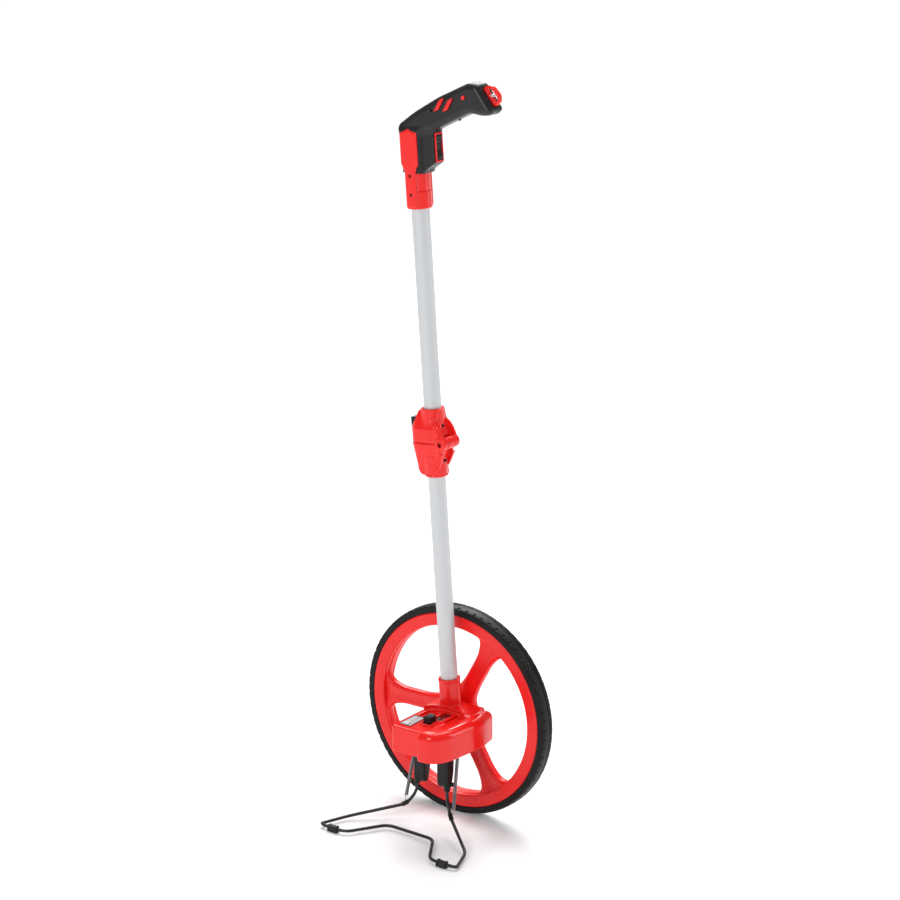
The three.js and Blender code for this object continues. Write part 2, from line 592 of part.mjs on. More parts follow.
function buildPole() {
  const lowerEnd = (LOWER_TUBE_FOOT_Z - HINGE_Z) / Math.cos(rad(POLE_TILT));
  place(poleFrame, 'lower_tube', tube(lowerEnd, -12.5), ALUMINIUM());
  place(poleFrame, 'hinge_lower', hingeLower(), RED());
  place(poleFrame, 'hinge_upper', hingeUpper(), RED());
  place(poleFrame, 'hinge_pin', rod('y', FOLD_PIN_RADIUS, -19, 19, [PIVOT_OFFSET, 0]), STEEL());
  place(poleFrame, 'hinge_screw_upper', hingeScrew(UPPER_SCREW_Z), STEEL());
  place(poleFrame, 'hinge_screw_lower', hingeScrew(LOWER_SCREW_Z), STEEL());
  const springAxis = [0, (LATCH.z0 + LATCH.z1) / 2];
  const button = cut(
    block(LATCH.front, LATCH.back, -LATCH.halfWidth, LATCH.halfWidth, LATCH.z0, LATCH.z1),
    rod('x', 4, LATCH.back - 6, LATCH.back + 1, springAxis, 20),
  );
  place(poleFrame, 'latch_button', button, BLACK());
  const latchSpring = ring('x', 3.5, 2.5, LATCH.back - 5.6, -TUBE_RADIUS - 0.7, springAxis, 20);
  place(poleFrame, 'latch_spring', latchSpring, STEEL());
  place(poleFrame, 'upper_tube', tube(12.5, 425), ALUMINIUM());
}

// ---------------------------------------------------------------- handle
const SHELL_HALF = 17;
const HANDLE_WALL = 2.5;
const LOOP_HALF = 3;
const SHANK_BOTTOM = 381;
const COLLAR_BOTTOM = 331;
const COLLAR_SCREW_HEIGHTS = [351, 377];
const LOOP = { x: 129.5, z: 484, tilt: 36 }; // where the end loop meets the butt
const TRIGGER = { z0: 398, z1: 432, half: 6.2, front: 40, back: 30 };

function gripOutline() {
  return [[-15.5, SHANK_BOTTOM], [15.5, SHANK_BOTTOM], [37.5, 394], [37.5, 438], [45.9, 441.6], [75.9, 453.7],
    [103.6, 463.7], [120, 460.3], [134, 460.3], [141, 467], [116.5, 503.3], [101, 504.8],
    [50, 484.7], [6.3, 462.8], [-20, 446.5], [-20, 437], [-15.5, 430]];
}

function shell(side) {
  const outline = gripOutline();
  const whole = softSlab(polygon(outline), -SHELL_HALF, SHELL_HALF, 4);
  const innerHalf = SHELL_HALF - HANDLE_WALL;
  const inner = slab(polygon(inset(outline, HANDLE_WALL)), -innerHalf, innerHalf);
  const otherSide = side < 0 ? [-GAP / 2, 60] : [-60, GAP / 2];
  const otherHalf = block(-100, 300, ...otherSide, 300, 600);
  const tubeBore = rod('z', TUBE_RADIUS + GAP, 300, 428, [0, 0], 32);
  const triggerHole = block(25, 60, -TRIGGER.half - GAP, TRIGGER.half + GAP,
    TRIGGER.z0 - GAP, TRIGGER.z1 + GAP);
  const loopHole = block(-4, 12, -LOOP_HALF - GAP, LOOP_HALF + GAP, -17, 17)
    .rotate([0, -LOOP.tilt, 0]).translate(127, 0, 482);
  return cut(whole, inner, otherHalf, tubeBore, triggerHole, loopHole);
}

function shieldShape() {
  return polygon([[-14.5, 394], [-9, 382.5], [-9, COLLAR_BOTTOM + 2], [9, COLLAR_BOTTOM + 2], [9, 382.5],
    [14.5, 394], [14.5, 436], [0, 441.5], [-14.5, 436]]);
}

function shield(side) {
  const plate = slab(shieldShape(), SHELL_HALF + GAP, SHELL_HALF + 2.8);
  const holes = COLLAR_SCREW_HEIGHTS.map((z) => rod('y', SCREW_RADIUS + GAP, 0, 40, [0, z], 16));
  const body = cut(plate, ...holes);
  return side > 0 ? body : body.mirror([0, 1, 0]);
}

function handleCollar() {
  const sleeve = rod('z', COLLAR_RADIUS, COLLAR_BOTTOM, SHANK_BOTTOM - GAP, [0, 0], 36);
  const foot = rod('z', COLLAR_RADIUS + 0.8, COLLAR_BOTTOM, COLLAR_BOTTOM + 24, [0, 0], 36);
  const flats = block(-9, 9, -SHELL_HALF, SHELL_HALF, COLLAR_BOTTOM, SHANK_BOTTOM - GAP);
  const bore = rod('z', TUBE_RADIUS + GAP, 300, 400, [0, 0], 36);
  const holes = COLLAR_SCREW_HEIGHTS.map((z) => rod('y', SCREW_RADIUS + GAP, -40, 40, [0, z], 16));
  return cut(join(sleeve, foot, flats), bore, ...holes);
}

function endLoop() {
  const plate = new THREE.Shape(); // drawn against the butt: X outwards, Z up along it
  plate.moveTo(-1.5, -15);
  plate.lineTo(7, -15);
  plate.quadraticCurveTo(15, -13, 15, -4);
  plate.lineTo(13, 8);
  plate.quadraticCurveTo(11, 15, 3, 15);
  plate.lineTo(-1.5, 15);
  plate.closePath();
  const eye = new THREE.Path();
  eye.moveTo(3.5, -10);
  eye.lineTo(10, -9);
  eye.lineTo(10.5, 2);
  eye.lineTo(7.5, 10);
  eye.lineTo(3.5, 10);
  eye.closePath();
  plate.holes.push(eye);
  return slab(plate, -LOOP_HALF, LOOP_HALF);
}

function stripe(foot) {
  const lean = 10;
  const shape = polygon([[foot, 465], [foot + 8, 468], [foot + 8 + lean, 484], [foot + lean, 480.5]]);
  return slab(shape, -SHELL_HALF - 1.2, -SHELL_HALF - GAP);
}

function buildHandle() {
  place(poleFrame, 'handle_shell_left', shell(-1), SOFT_GRIP());
  place(poleFrame, 'handle_shell_right', shell(1), SOFT_GRIP());
  place(poleFrame, 'shield_left', shield(-1), RED());
  place(poleFrame, 'shield_right', shield(1), RED());
  place(poleFrame, 'handle_collar', handleCollar(), RED());
  COLLAR_SCREW_HEIGHTS.forEach((z, i) => {
    const screw = rod('y', SCREW_RADIUS, -19, -12.9, [0, z], 12);
    place(poleFrame, `collar_screw_${i + 1}`, screw, STEEL());
  });
  const trigger = block(TRIGGER.back, TRIGGER.front, -TRIGGER.half, TRIGGER.half, TRIGGER.z0, TRIGGER.z1);
  const springAxis = [0, (TRIGGER.z0 + TRIGGER.z1) / 2];
  const pocket = rod('x', 4, TRIGGER.back - 1, TRIGGER.back + 5, springAxis, 20);
  place(poleFrame, 'trigger', cut(trigger, pocket), BLACK());
  const spring = ring('x', 3.4, 2.4, TUBE_RADIUS + 0.7, TRIGGER.back + 4.6, springAxis, 20);
  place(poleFrame, 'trigger_spring', spring, STEEL());
  const bezel = cut(
    block(37.8, 39.6, -8.4, 8.4, TRIGGER.z0 - 3, TRIGGER.z1 + 3),
    block(30, 50, -TRIGGER.half - GAP, TRIGGER.half + GAP, TRIGGER.z0 - GAP, TRIGGER.z1 + GAP),
  );
  place(poleFrame, 'trigger_bezel', bezel, RED());
  const loopGroup = new THREE.Group();
  loopGroup.position.set(LOOP.x, 0, LOOP.z);
  loopGroup.rotation.y = -rad(LOOP.tilt);
  poleFrame.add(loopGroup);
  place(loopGroup, 'lanyard_loop', endLoop(), RED());
  place(poleFrame, 'stripe_front', stripe(45), RED());
  place(poleFrame, 'stripe_rear', stripe(60), RED());
  const plug = block(93, 98, -SHELL_HALF - 1, -SHELL_HALF - GAP, 481, 487);
  place(poleFrame, 'grip_plug', plug, RED());
}

buildWheel();
buildHousing();
buildCounter();
buildStand();
buildPole();
buildHandle();

const object = new THREE.Group();
object.add(wheelFrame);

export default object;
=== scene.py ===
"""A folding measuring wheel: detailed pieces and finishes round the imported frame."""
import itertools
import math

import bmesh
import bpy
import numpy as np
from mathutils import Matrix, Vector


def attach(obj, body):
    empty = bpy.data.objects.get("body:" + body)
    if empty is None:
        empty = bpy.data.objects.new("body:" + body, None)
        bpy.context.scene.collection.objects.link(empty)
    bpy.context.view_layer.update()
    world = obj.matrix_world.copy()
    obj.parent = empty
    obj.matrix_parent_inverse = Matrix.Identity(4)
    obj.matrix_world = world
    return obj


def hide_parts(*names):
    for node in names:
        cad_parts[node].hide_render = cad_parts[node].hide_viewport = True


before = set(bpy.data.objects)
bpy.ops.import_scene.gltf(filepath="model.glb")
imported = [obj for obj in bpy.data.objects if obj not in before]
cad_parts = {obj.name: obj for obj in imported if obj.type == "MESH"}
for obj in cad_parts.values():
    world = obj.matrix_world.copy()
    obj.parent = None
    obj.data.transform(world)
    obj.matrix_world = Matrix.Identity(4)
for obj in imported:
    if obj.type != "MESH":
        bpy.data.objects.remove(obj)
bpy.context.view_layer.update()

# ------------------------------------------------------------------ spaces, in millimetres
# Pieces are drawn in the wheel's space (origin on the floor under the wheel's middle plane) or in
# the pole's (origin where the pole's axis passes the fold, z along the pole).
WHEEL_SHIFT_Y = 78.75
POLE_ORIGIN = np.array([-15.9, -36.0, 570.0])
POLE_TILT = math.radians(4.14)
WHEEL_RADIUS = 1000 / (2 * math.pi)
AXLE_Z = WHEEL_RADIUS
FOLD_PIN_X = 21.5
STAND_PIVOT = (-62.0, 122.0)  # y, z
COUNTER_X = 24.0
TUBE_BORE, TUBE_RADIUS, TUBE_SOCKET = 11.0, 12.5, 12.7


def wheel_space(points):
    """From the wheel's space to the row's, in metres."""
    return (np.asarray(points, float) + [0, WHEEL_SHIFT_Y, 0]) / 1000


def pole_space(points):
    """From the pole's space to the row's, in metres."""
    x, y, z = np.asarray(points, float).T
    c, s = math.cos(POLE_TILT), math.sin(POLE_TILT)
    return wheel_space(np.stack([x * c - z * s, y, x * s + z * c], 1) + POLE_ORIGIN)


# ------------------------------------------------------------------ distance fields, in millimetres
def fuse(a, b, blend):
    """The two together, with a fillet of about that size between them."""
    h = np.clip(0.5 + 0.5 * (b - a) / blend, 0, 1)
    return b * (1 - h) + a * h - blend * h * (1 - h)


def carve(a, b, blend=0.01):
    """a with b taken out of it."""
    return -fuse(-a, b, blend)


def both(a, b, blend=0.01):
    """What a and b share."""
    return -fuse(-a, -b, blend)


def rounded_pair(d, e, edge):
    """Where two slabs of field d and e cross, with a rounded edge."""
    p, q = d + edge, e + edge
    return np.minimum(np.maximum(p, q), 0) + np.hypot(np.maximum(p, 0), np.maximum(q, 0)) - edge


def span(w, low, high):
    """The slab between two places on w."""
    return np.abs(w - (low + high) / 2) - (high - low) / 2


def block(x, y, z, low, high, edge=0.0):
    """A box between two corners, with rounded edges."""
    q = [np.abs(w - (a + b) / 2) - (b - a) / 2 + edge for w, a, b in zip((x, y, z), low, high)]
    outside = np.sqrt(sum(np.maximum(w, 0) ** 2 for w in q))
    return outside + np.minimum(np.maximum(np.maximum(q[0], q[1]), q[2]), 0) - edge


def rod(u, v, w, radius, low, high, edge=0.0):
    """A round bar of that radius in u and v, between two places on w."""
    return rounded_pair(np.hypot(u, v) - radius, span(w, low, high), edge)


def outline(u, v, points):
    """Signed distance to a closed polygon, below zero inside."""
    points = np.asarray(points, float)
    shape = np.broadcast_shapes(u.shape, v.shape)
    best = np.full(shape, np.inf)
    inside = np.zeros(shape, bool)
    for (au, av), (bu, bv) in zip(points, np.roll(points, -1, axis=0)):
        eu, ev = bu - au, bv - av
        t = np.clip(((u - au) * eu + (v - av) * ev) / (eu * eu + ev * ev), 0, 1)
        best = np.minimum(best, (u - au - t * eu) ** 2 + (v - av - t * ev) ** 2)
        if av != bv:
            inside ^= ((av > v) != (bv > v)) & (u < eu * (v - av) / ev + au)
    return np.where(inside, -1, 1) * np.sqrt(best)


def soft_corners(points, radius, steps=5):
    """The polygon with each corner rounded by about that radius."""
    points = [Vector(p) for p in points]
    out = []
    for before, corner, after in zip(points[-1:] + points[:-1], points, points[1:] + points[:1]):
        reach = min(radius, (before - corner).length * 0.48, (after - corner).length * 0.48)
        a = corner + (before - corner).normalized() * reach
        b = corner + (after - corner).normalized() * reach
        for i in range(steps + 1):
            t = i / steps
            out.append(tuple(a * (1 - t) ** 2 + corner * 2 * t * (1 - t) + b * t * t))
    return out


# ------------------------------------------------------------------ meshes
CORNERS = list(itertools.product((0, 1), repeat=3))
SETTLE_ROUNDS = 3
WELD, SLIVER = 1e-6, 1e-7  # metres


def skin(field, low, high, step):
    """Points and quads of the closed surface where field is zero."""
    low, high = np.array(low, float), np.array(high, float)
    counts = np.ceil((high - low) / step).astype(int) + 1
    axes = [low[i] + step * np.arange(counts[i]) for i in range(3)]
    value = np.array(np.broadcast_to(field(*np.meshgrid(*axes, indexing="ij", sparse=True)), counts))
    for axis in range(3):
        edge = np.moveaxis(value, axis, 0)
        edge[[0, -1]] = np.maximum(edge[[0, -1]], step)
    inside = value < 0
    cell_shape = counts - 1
    total = sum(
        inside[a : a + cell_shape[0], b : b + cell_shape[1], c : c + cell_shape[2]].astype(np.int8)
        for a, b, c in CORNERS
    )
    cells = np.argwhere((total > 0) & (total < 8))
    index = np.full(total.shape, -1)
    index[tuple(cells.T)] = np.arange(len(cells))
    sums, hits = np.zeros((len(cells), 3)), np.zeros(len(cells))
    for start in CORNERS:
        for axis in range(3):
            if start[axis]:
                continue
            end = list(start)
            end[axis] = 1
            a, b = value[tuple((cells + start).T)], value[tuple((cells + end).T)]
            cross = (a < 0) != (b < 0)
            at = cells[cross] + np.array(start, float)
            at[:, axis] += a[cross] / (a[cross] - b[cross])
            sums[cross] += at
            hits[cross] += 1
    points = low + step * sums / hits[:, None]
    quads = []
    for axis in range(3):
        u, v = (axis + 1) % 3, (axis + 2) % 3
        near = np.moveaxis(np.moveaxis(inside, axis, 0)[:-1], 0, axis)
        far = np.moveaxis(np.moveaxis(inside, axis, 0)[1:], 0, axis)
        edges = np.argwhere(near != far)
        for w in (u, v):
            edges = edges[(edges[:, w] > 0) & (edges[:, w] < counts[w] - 1)]
        unit = np.eye(3, dtype=int)
        ring = [edges - unit[u] - unit[v], edges - unit[v], edges, edges - unit[u]]
        faces = np.stack([index[tuple(e.T)] for e in ring], 1)
        flipped = far[tuple(edges.T)]
        faces[flipped] = faces[flipped][:, ::-1]
        quads.append(faces)
    for _ in range(SETTLE_ROUNDS):
        points = settle(field, points, step)
    return points, np.concatenate(quads)


def settle(field, points, step):
    """Moves each point onto the surface, by at most a third of a step."""
    reach = step * 0.1
    here = field(*points.T)
    slope = np.stack([
        (field(*(points + reach * unit).T) - field(*(points - reach * unit).T)) / (2 * reach)
        for unit in np.eye(3)
    ], 1)
    move = -slope * (here / np.maximum((slope**2).sum(1), 0.2))[:, None]
    length = np.linalg.norm(move, axis=1)
    return points + move * np.minimum(1, step / 3 / np.maximum(length, 1e-9))[:, None]


def turned(profile, segments, axis="y", at=(0, 0), depth=None):
    """A closed profile of (radius, place on the axis), turned round it.

    depth(angle, place, radius) says how far the surface is sunk.
    """
    profile = np.array(profile, float)
    angle = np.arange(segments) * 2 * math.pi / segments
    radius = np.repeat(profile[None, :, 0], segments, 0)
    place = np.repeat(profile[None, :, 1], segments, 0)
    if depth:
        radius = radius - depth(angle[:, None], place, radius)
    u, v = radius * np.cos(angle)[:, None], radius * np.sin(angle)[:, None]
    order = {"y": (v, place, u), "z": (u, v, place), "x": (place, u, v)}[axis]
    points = np.stack(order, -1).reshape(-1, 3)
    shift = {"y": (at[0], 0, at[1]), "z": (at[0], at[1], 0), "x": (0, at[0], at[1])}[axis]
    n = len(profile)
    i, j = np.meshgrid(np.arange(segments), np.arange(n), indexing="ij")
    after, up = (i + 1) % segments, (j + 1) % n
    quads = np.stack([i * n + j, after * n + j, after * n + up, i * n + up], -1).reshape(-1, 4)
    return points + shift, quads


NOT_ALONG_ANY_WIRE = [0.31, 0.52, 0.79]


def swept(path, radius, sides):
    """A round wire along the path, capped at both ends."""
    path = np.array(path, float)
    radius = np.broadcast_to(radius, len(path))
    tangent = np.gradient(path, axis=0)
    tangent /= np.linalg.norm(tangent, axis=1)[:, None]
    normal = np.cross(tangent[0], NOT_ALONG_ANY_WIRE)
    turn = np.arange(sides) * 2 * math.pi / sides
    points = []
    for centre, along, r in zip(path, tangent, radius):
        normal = normal - along * (normal @ along)
        normal /= np.linalg.norm(normal)
        side = np.cross(along, normal)
        points.append(centre + r * (np.cos(turn)[:, None] * normal + np.sin(turn)[:, None] * side))
    n = len(path)
    i, j = np.meshgrid(np.arange(n - 1), np.arange(sides), indexing="ij")
    k = (j + 1) % sides
    quads = np.stack([i * sides + j, i * sides + k, (i + 1) * sides + k, (i + 1) * sides + j], -1)
    caps = [list(range(sides))[::-1], list(range((n - 1) * sides, n * sides))]
    return np.concatenate(points), quads.reshape(-1, 4).tolist() + caps


def bent(corners, bend, spacing=2.0):
    """Points along straight runs with rounded corners."""
    corners = [Vector(c) for c in corners]
    out = [corners[0]]
    for before, corner, after in zip(corners, corners[1:], corners[2:]):
        reach = min(bend, (before - corner).length / 2.2, (after - corner).length / 2.2)
        a = corner + (before - corner).normalized() * reach
        b = corner + (after - corner).normalized() * reach
        out += [a * (1 - t) ** 2 + corner * 2 * t * (1 - t) + b * t * t for t in np.linspace(0, 1, 9)]
    out.append(corners[-1])
    fine = [out[0]]
    for a, b in zip(out, out[1:]):
        steps = max(1, round((b - a).length / (spacing * 4)))
        fine += [a.lerp(b, i / steps) for i in range(1, steps + 1)]
    return [tuple(p) for p in fine]


def slab(shape, low, high, edge, order="xzy"):
    """A flat plate of that shape with softened edges.

    order names the shape's two axes and then the thickness's.
    """
    bm = bmesh.new()
    face = bm.faces.new([bm.verts.new((u, v, low)) for u, v in shape])
    top = bmesh.ops.extrude_face_region(bm, geom=[face])
    raised = [g for g in top["geom"] if isinstance(g, bmesh.types.BMVert)]
    bmesh.ops.translate(bm, verts=raised, vec=(0, 0, high - low))
    bmesh.ops.recalc_face_normals(bm, faces=bm.faces)
    rim = [e for e in bm.edges if e.calc_face_angle(0) > math.radians(25)]
    bmesh.ops.bevel(bm, geom=rim, offset=edge, segments=3, profile=0.5, affect="EDGES",
                    clamp_overlap=True)
    bm.verts.index_update()
    place = ["xyz".index(letter) for letter in order]
    points = np.zeros((len(bm.verts), 3))
    points[:, place] = [v.co[:] for v in bm.verts]
    faces = [[v.index for v in f.verts] for f in bm.faces]
    bm.free()
    if np.linalg.det(np.eye(3)[place]) < 0:
        faces = [f[::-1] for f in faces]
    return points, faces


def merged(*parts):
    """Several closed meshes as one piece."""
    points, faces, start = [], [], 0
    for p, f in parts:
        points.append(p)
        faces += [[i + start for i in face] for face in np.asarray(f, object).tolist()]
        start += len(p)
    return np.concatenate(points), faces


def mirrored(part, flip=(-1, 1, 1)):
    """The same mesh on the other side of x, or of the axis that flip turns round."""
    points, faces = part
    return points * flip, [list(f)[::-1] for f in np.asarray(faces, object).tolist()]


def piece(name, part, body, finish, replaced=(), space=wheel_space, sharp=40.0):
    """A finished object that rides on body and stands for the CAD nodes it replaces."""
    points, faces = part
    mesh = bpy.data.meshes.new(name)
    mesh.from_pydata(space(points).tolist(), [], np.asarray(faces, object).tolist())
    mesh.materials.append(finish)
    obj = bpy.data.objects.new(name, mesh)
    bpy.context.scene.collection.objects.link(obj)
    bm = bmesh.new()
    bm.from_mesh(mesh)
    bmesh.ops.remove_doubles(bm, verts=bm.verts, dist=WELD)
    bmesh.ops.dissolve_degenerate(bm, edges=bm.edges, dist=SLIVER)
    bmesh.ops.recalc_face_normals(bm, faces=bm.faces)
    bm.to_mesh(mesh)
    bm.free()
    mesh.shade_smooth()
    mesh.set_sharp_from_angle(angle=math.radians(sharp))
    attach(obj, body)
    if replaced:
        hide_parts(*replaced)
    return obj


# ------------------------------------------------------------------ finishes
# Sizes of the noise, as cells per metre, and the depth of the moulded grain in metres.
MOTTLE_SCALE, GLOSS_SCALE, WEAR_SCALE, GRAIN_DEPTH = 38.0, 120.0, 150.0, 0.0006
WEAR_STARTS, WEAR_FULL = 0.58, 0.8
COAT_ROUGHNESS, SMOOTHEST = 0.06, 0.02


def finish(name, color, roughness, grain=900.0, bump=0.06, metallic=0.0, coat=0.0, mottle=0.06,
           stretch=(1, 1, 1), wear=0.0, roughness_swing=0.08, transmission=0.0, specular=0.5):
    """A procedural finish: mottled colour, uneven gloss, a fine moulded grain, and paler rubbed patches."""
    mat = bpy.data.materials.new(name)
    mat.use_nodes = True
    nodes, links = mat.node_tree.nodes, mat.node_tree.links
    shader = nodes["Principled BSDF"]
    shader.inputs["Metallic"].default_value = metallic
    shader.inputs["Specular IOR Level"].default_value = specular
    shader.inputs["Coat Weight"].default_value = coat
    shader.inputs["Coat Roughness"].default_value = COAT_ROUGHNESS
    shader.inputs["Transmission Weight"].default_value = transmission
    coords = nodes.new("ShaderNodeTexCoord")
    mapping = nodes.new("ShaderNodeMapping")
    mapping.inputs["Scale"].default_value = stretch
    links.new(coords.outputs["Object"], mapping.inputs["Vector"])

    def noise(scale, detail):
        node = nodes.new("ShaderNodeTexNoise")
        node.inputs["Scale"].default_value = scale
        node.inputs["Detail"].default_value = detail
        links.new(mapping.outputs["Vector"], node.inputs["Vector"])
        return node.outputs["Fac"]

    broad = noise(MOTTLE_SCALE, 3.0)
    fine = noise(grain, 4.0)
    tint = nodes.new("ShaderNodeMixRGB")
    tint.inputs["Color1"].default_value = (*[c * (1 - mottle) for c in color], 1)
    tint.inputs["Color2"].default_value = (*[min(1, c * (1 + mottle) + mottle * 0.05) for c in color], 1)
    links.new(broad, tint.inputs["Fac"])
    shade = tint.outputs["Color"]
    if wear:
        patches = nodes.new("ShaderNodeMapRange")
        patches.inputs["From Min"].default_value = WEAR_STARTS
        patches.inputs["From Max"].default_value = WEAR_FULL
        patches.inputs["To Max"].default_value = wear
        links.new(noise(WEAR_SCALE, 6.0), patches.inputs["Value"])
        rubbed = nodes.new("ShaderNodeMixRGB")
        rubbed.inputs["Color2"].default_value = (*[min(1, c * 1.5 + 0.06) for c in color], 1)
        links.new(shade, rubbed.inputs["Color1"])
        links.new(patches.outputs["Result"], rubbed.inputs["Fac"])
        shade = rubbed.outputs["Color"]
    links.new(shade, shader.inputs["Base Color"])
    gloss = nodes.new("ShaderNodeMapRange")
    gloss.inputs["To Min"].default_value = max(SMOOTHEST, roughness - roughness_swing)
    gloss.inputs["To Max"].default_value = roughness + roughness_swing
    links.new(noise(GLOSS_SCALE, 5.0), gloss.inputs["Value"])
    links.new(gloss.outputs["Result"], shader.inputs["Roughness"])
    relief = nodes.new("ShaderNodeBump")
    relief.inputs["Strength"].default_value = bump
    relief.inputs["Distance"].default_value = GRAIN_DEPTH
    links.new(fine, relief.inputs["Height"])
    links.new(relief.outputs["Normal"], shader.inputs["Normal"])
    return mat


RED = finish("red_moulding", (0.87, 0.0105, 0.008), 0.17, bump=0.03, mottle=0.04,
             roughness_swing=0.04, specular=0.4)
RED_RIM = finish("red_rim_moulding", (0.86, 0.010, 0.0095), 0.3, bump=0.05, mottle=0.05, specular=0.35)
RUBBER = finish("tyre_rubber", (0.006, 0.0056, 0.0058), 0.42, grain=600, bump=0.16, mottle=0.25,
                wear=0.05, specular=0.14)
FOOT = finish("foot_rubber", (0.012, 0.012, 0.013), 0.6, grain=700, bump=0.4, mottle=0.2, specular=0.3)
GRIP = finish("soft_grip", (0.008, 0.008, 0.0088), 0.34, grain=1500, bump=0.16, mottle=0.12, specular=0.36)
BLACK = finish("black_moulding", (0.005, 0.0045, 0.005), 0.34, grain=1100, bump=0.12, mottle=0.15,
               specular=0.25)
WIRE = finish("black_enamel", (0.012, 0.013, 0.015), 0.32, grain=500, bump=0.1, coat=0.1, specular=0.4)
TUBE = finish("satin_aluminium", (0.6, 0.615, 0.625), 0.48, grain=1400, bump=0.08, metallic=0.35,
              mottle=0.03, stretch=(1, 1, 0.06), roughness_swing=0.05)
DARK_STEEL = finish("blackened_steel", (0.05, 0.03, 0.03), 0.5, grain=900, bump=0.08, metallic=0.7)
STEEL = finish("bright_steel", (0.56, 0.56, 0.57), 0.28, grain=900, bump=0.06, metallic=1.0)
SPRING = finish("spring_wire", (0.3, 0.3, 0.31), 0.3, grain=900, bump=0.05, metallic=1.0)
BRASS = finish("bush_brass", (0.62, 0.4, 0.13), 0.32, grain=900, bump=0.06, metallic=1.0)
WHITE = finish("white_moulding", (0.8, 0.79, 0.76), 0.4, bump=0.06)
LABEL = finish("label_grey", (0.10, 0.105, 0.115), 0.35, grain=1600, bump=0.05)
LABEL_BAR = finish("label_print", (0.82, 0.83, 0.84), 0.4, grain=1600, bump=0.03)
INK = finish("digit_ink", (0.02, 0.02, 0.02), 0.5, grain=1600, bump=0.03)
CLEAR = finish("clear_window", (0.95, 0.96, 0.97), 0.06, bump=0.01, mottle=0.01, roughness_swing=0.03,
               transmission=1.0)

# ------------------------------------------------------------------ wheel
SPOKES = [math.radians(a) for a in (61, 181, 301)]
RIM_IN, RIM_OUT, RIM_HALF = 129.0, 147.9, 12.6
HUB_RADIUS, HUB_HALF, AXLE_HOLE = 26, 9.2, 8.3


def wheel_field(x, y, z):
    """Three dished spokes that flare into a hub and a rim."""
    z = z - AXLE_Z
    r = np.hypot(x, z)
    plan = r - 34
    ridge = 0.0
    for a in SPOKES:
        u, t = x * math.cos(a) + z * math.sin(a), np.abs(z * math.cos(a) - x * math.sin(a))
        flare = 13 + 17 * np.clip(1 - u / 62, 0, 1) ** 2 + 13 * np.clip((u - 88) / 42, 0, 1) ** 2.2
        spoke = np.maximum(t - flare, -u)
        plan = fuse(plan, spoke, 4)
        dish = np.clip(1 - (t / (flare * 0.85)) ** 2, 0, 1) ** 2 * np.clip((u - 34) / 26, 0, 1) ** 2
        ridge = ridge + dish
    plan = fuse(plan, RIM_IN - 1 - r, 14)
    web = -fuse(-plan, -(np.abs(y) - 7.6 + 1.6 * ridge), 7)
    hub = rod(x, z, y, HUB_RADIUS, -HUB_HALF, HUB_HALF, 2)
    body = fuse(fuse(np.maximum(web, r - RIM_OUT + 6), hub, 5), rim_field(r, y), 0.7)
    return carve(body, rod(x, z, y, AXLE_HOLE, -20, 20))


def rim_field(r, y):
    """The rim's ring, a little hollow on its inner face."""
    inner = RIM_IN + 1.4 * np.clip(1 - (y / 10.5) ** 2, 0, 1)
    wall = np.abs(r - (inner + RIM_OUT) / 2) - (RIM_OUT - inner) / 2
    return rounded_pair(wall, np.abs(y) - RIM_HALF, 2.1)


REACH = RIM_OUT + 2.4
piece("rim", skin(wheel_field, (-REACH, -15, AXLE_Z - REACH), (REACH, 15, AXLE_Z + REACH), 1.4), "wheel",
      RED_RIM, ["wheel_rim"], sharp=60)

TREAD_BLOCKS, STEPS_PER_BLOCK = 72, 10
TREAD = [(RIM_OUT + 0.3, -12.7)] + [
    (WHEEL_RADIUS - d, y) for d, y in (
        (7.6, -12.7), (7.2, -12.35), (6.8, -12.7), (3.4, -12.6), (2.2, -12.2), (1.5, -11.4), (1.2, -10.4),
        (0.9, -9.2), (0.55, -7.8), (0.25, -6.2), (0.05, -4.2), (0, -2.2), (0, 0.2), (0, 1.6), (0.3, 1.9),
        (1.4, 2.05), (1.4, 3), (0.3, 3.15), (0.05, 3.4), (0.05, 5.9), (0.3, 6.15), (1.4, 6.3), (1.4, 7.2),
        (0.5, 7.35), (0.45, 7.8), (0.7, 9), (1.1, 10.4), (1.7, 11.6), (2.6, 12.3), (3.8, 12.6),
        (7.2, 12.7), (7.6, 12.35), (8, 12.7))
] + [(RIM_OUT + 0.3, 12.7)]


def tread_depth(angle, place, radius):
    """Short slots across the near shoulder and fine sipes across the far one."""
    turn = angle * TREAD_BLOCKS / (2 * math.pi)
    slot = np.abs((turn % 1) - 0.5) < 0.1
    on_top = radius > WHEEL_RADIUS - 2.3
    return slot * on_top * (1.3 * (place < -7.5) + 0.4 * (place > 7.5))


tread = turned(TREAD, TREAD_BLOCKS * STEPS_PER_BLOCK, at=(0, AXLE_Z), depth=tread_depth)
piece("tread_tyre", tread, "wheel", RUBBER, ["tyre"], sharp=28)

CAP = [(8.6, 12.2), (21.2, 12.2), (22, 13), (22, 15.6), (21.2, 17.2), (18.6, 19.4), (17.2, 20),
       (16.6, 19.5), (15.8, 19.5), (15, 20), (9, 20), (8.4, 19.2), (7.6, 19), (0.01, 19), (0.01, 18.2),
       (8.6, 18.2)]
piece("wheel_cap", turned(CAP, 96, at=(0, AXLE_Z)), "wheel", RED, ["hub_cap"], sharp=30)

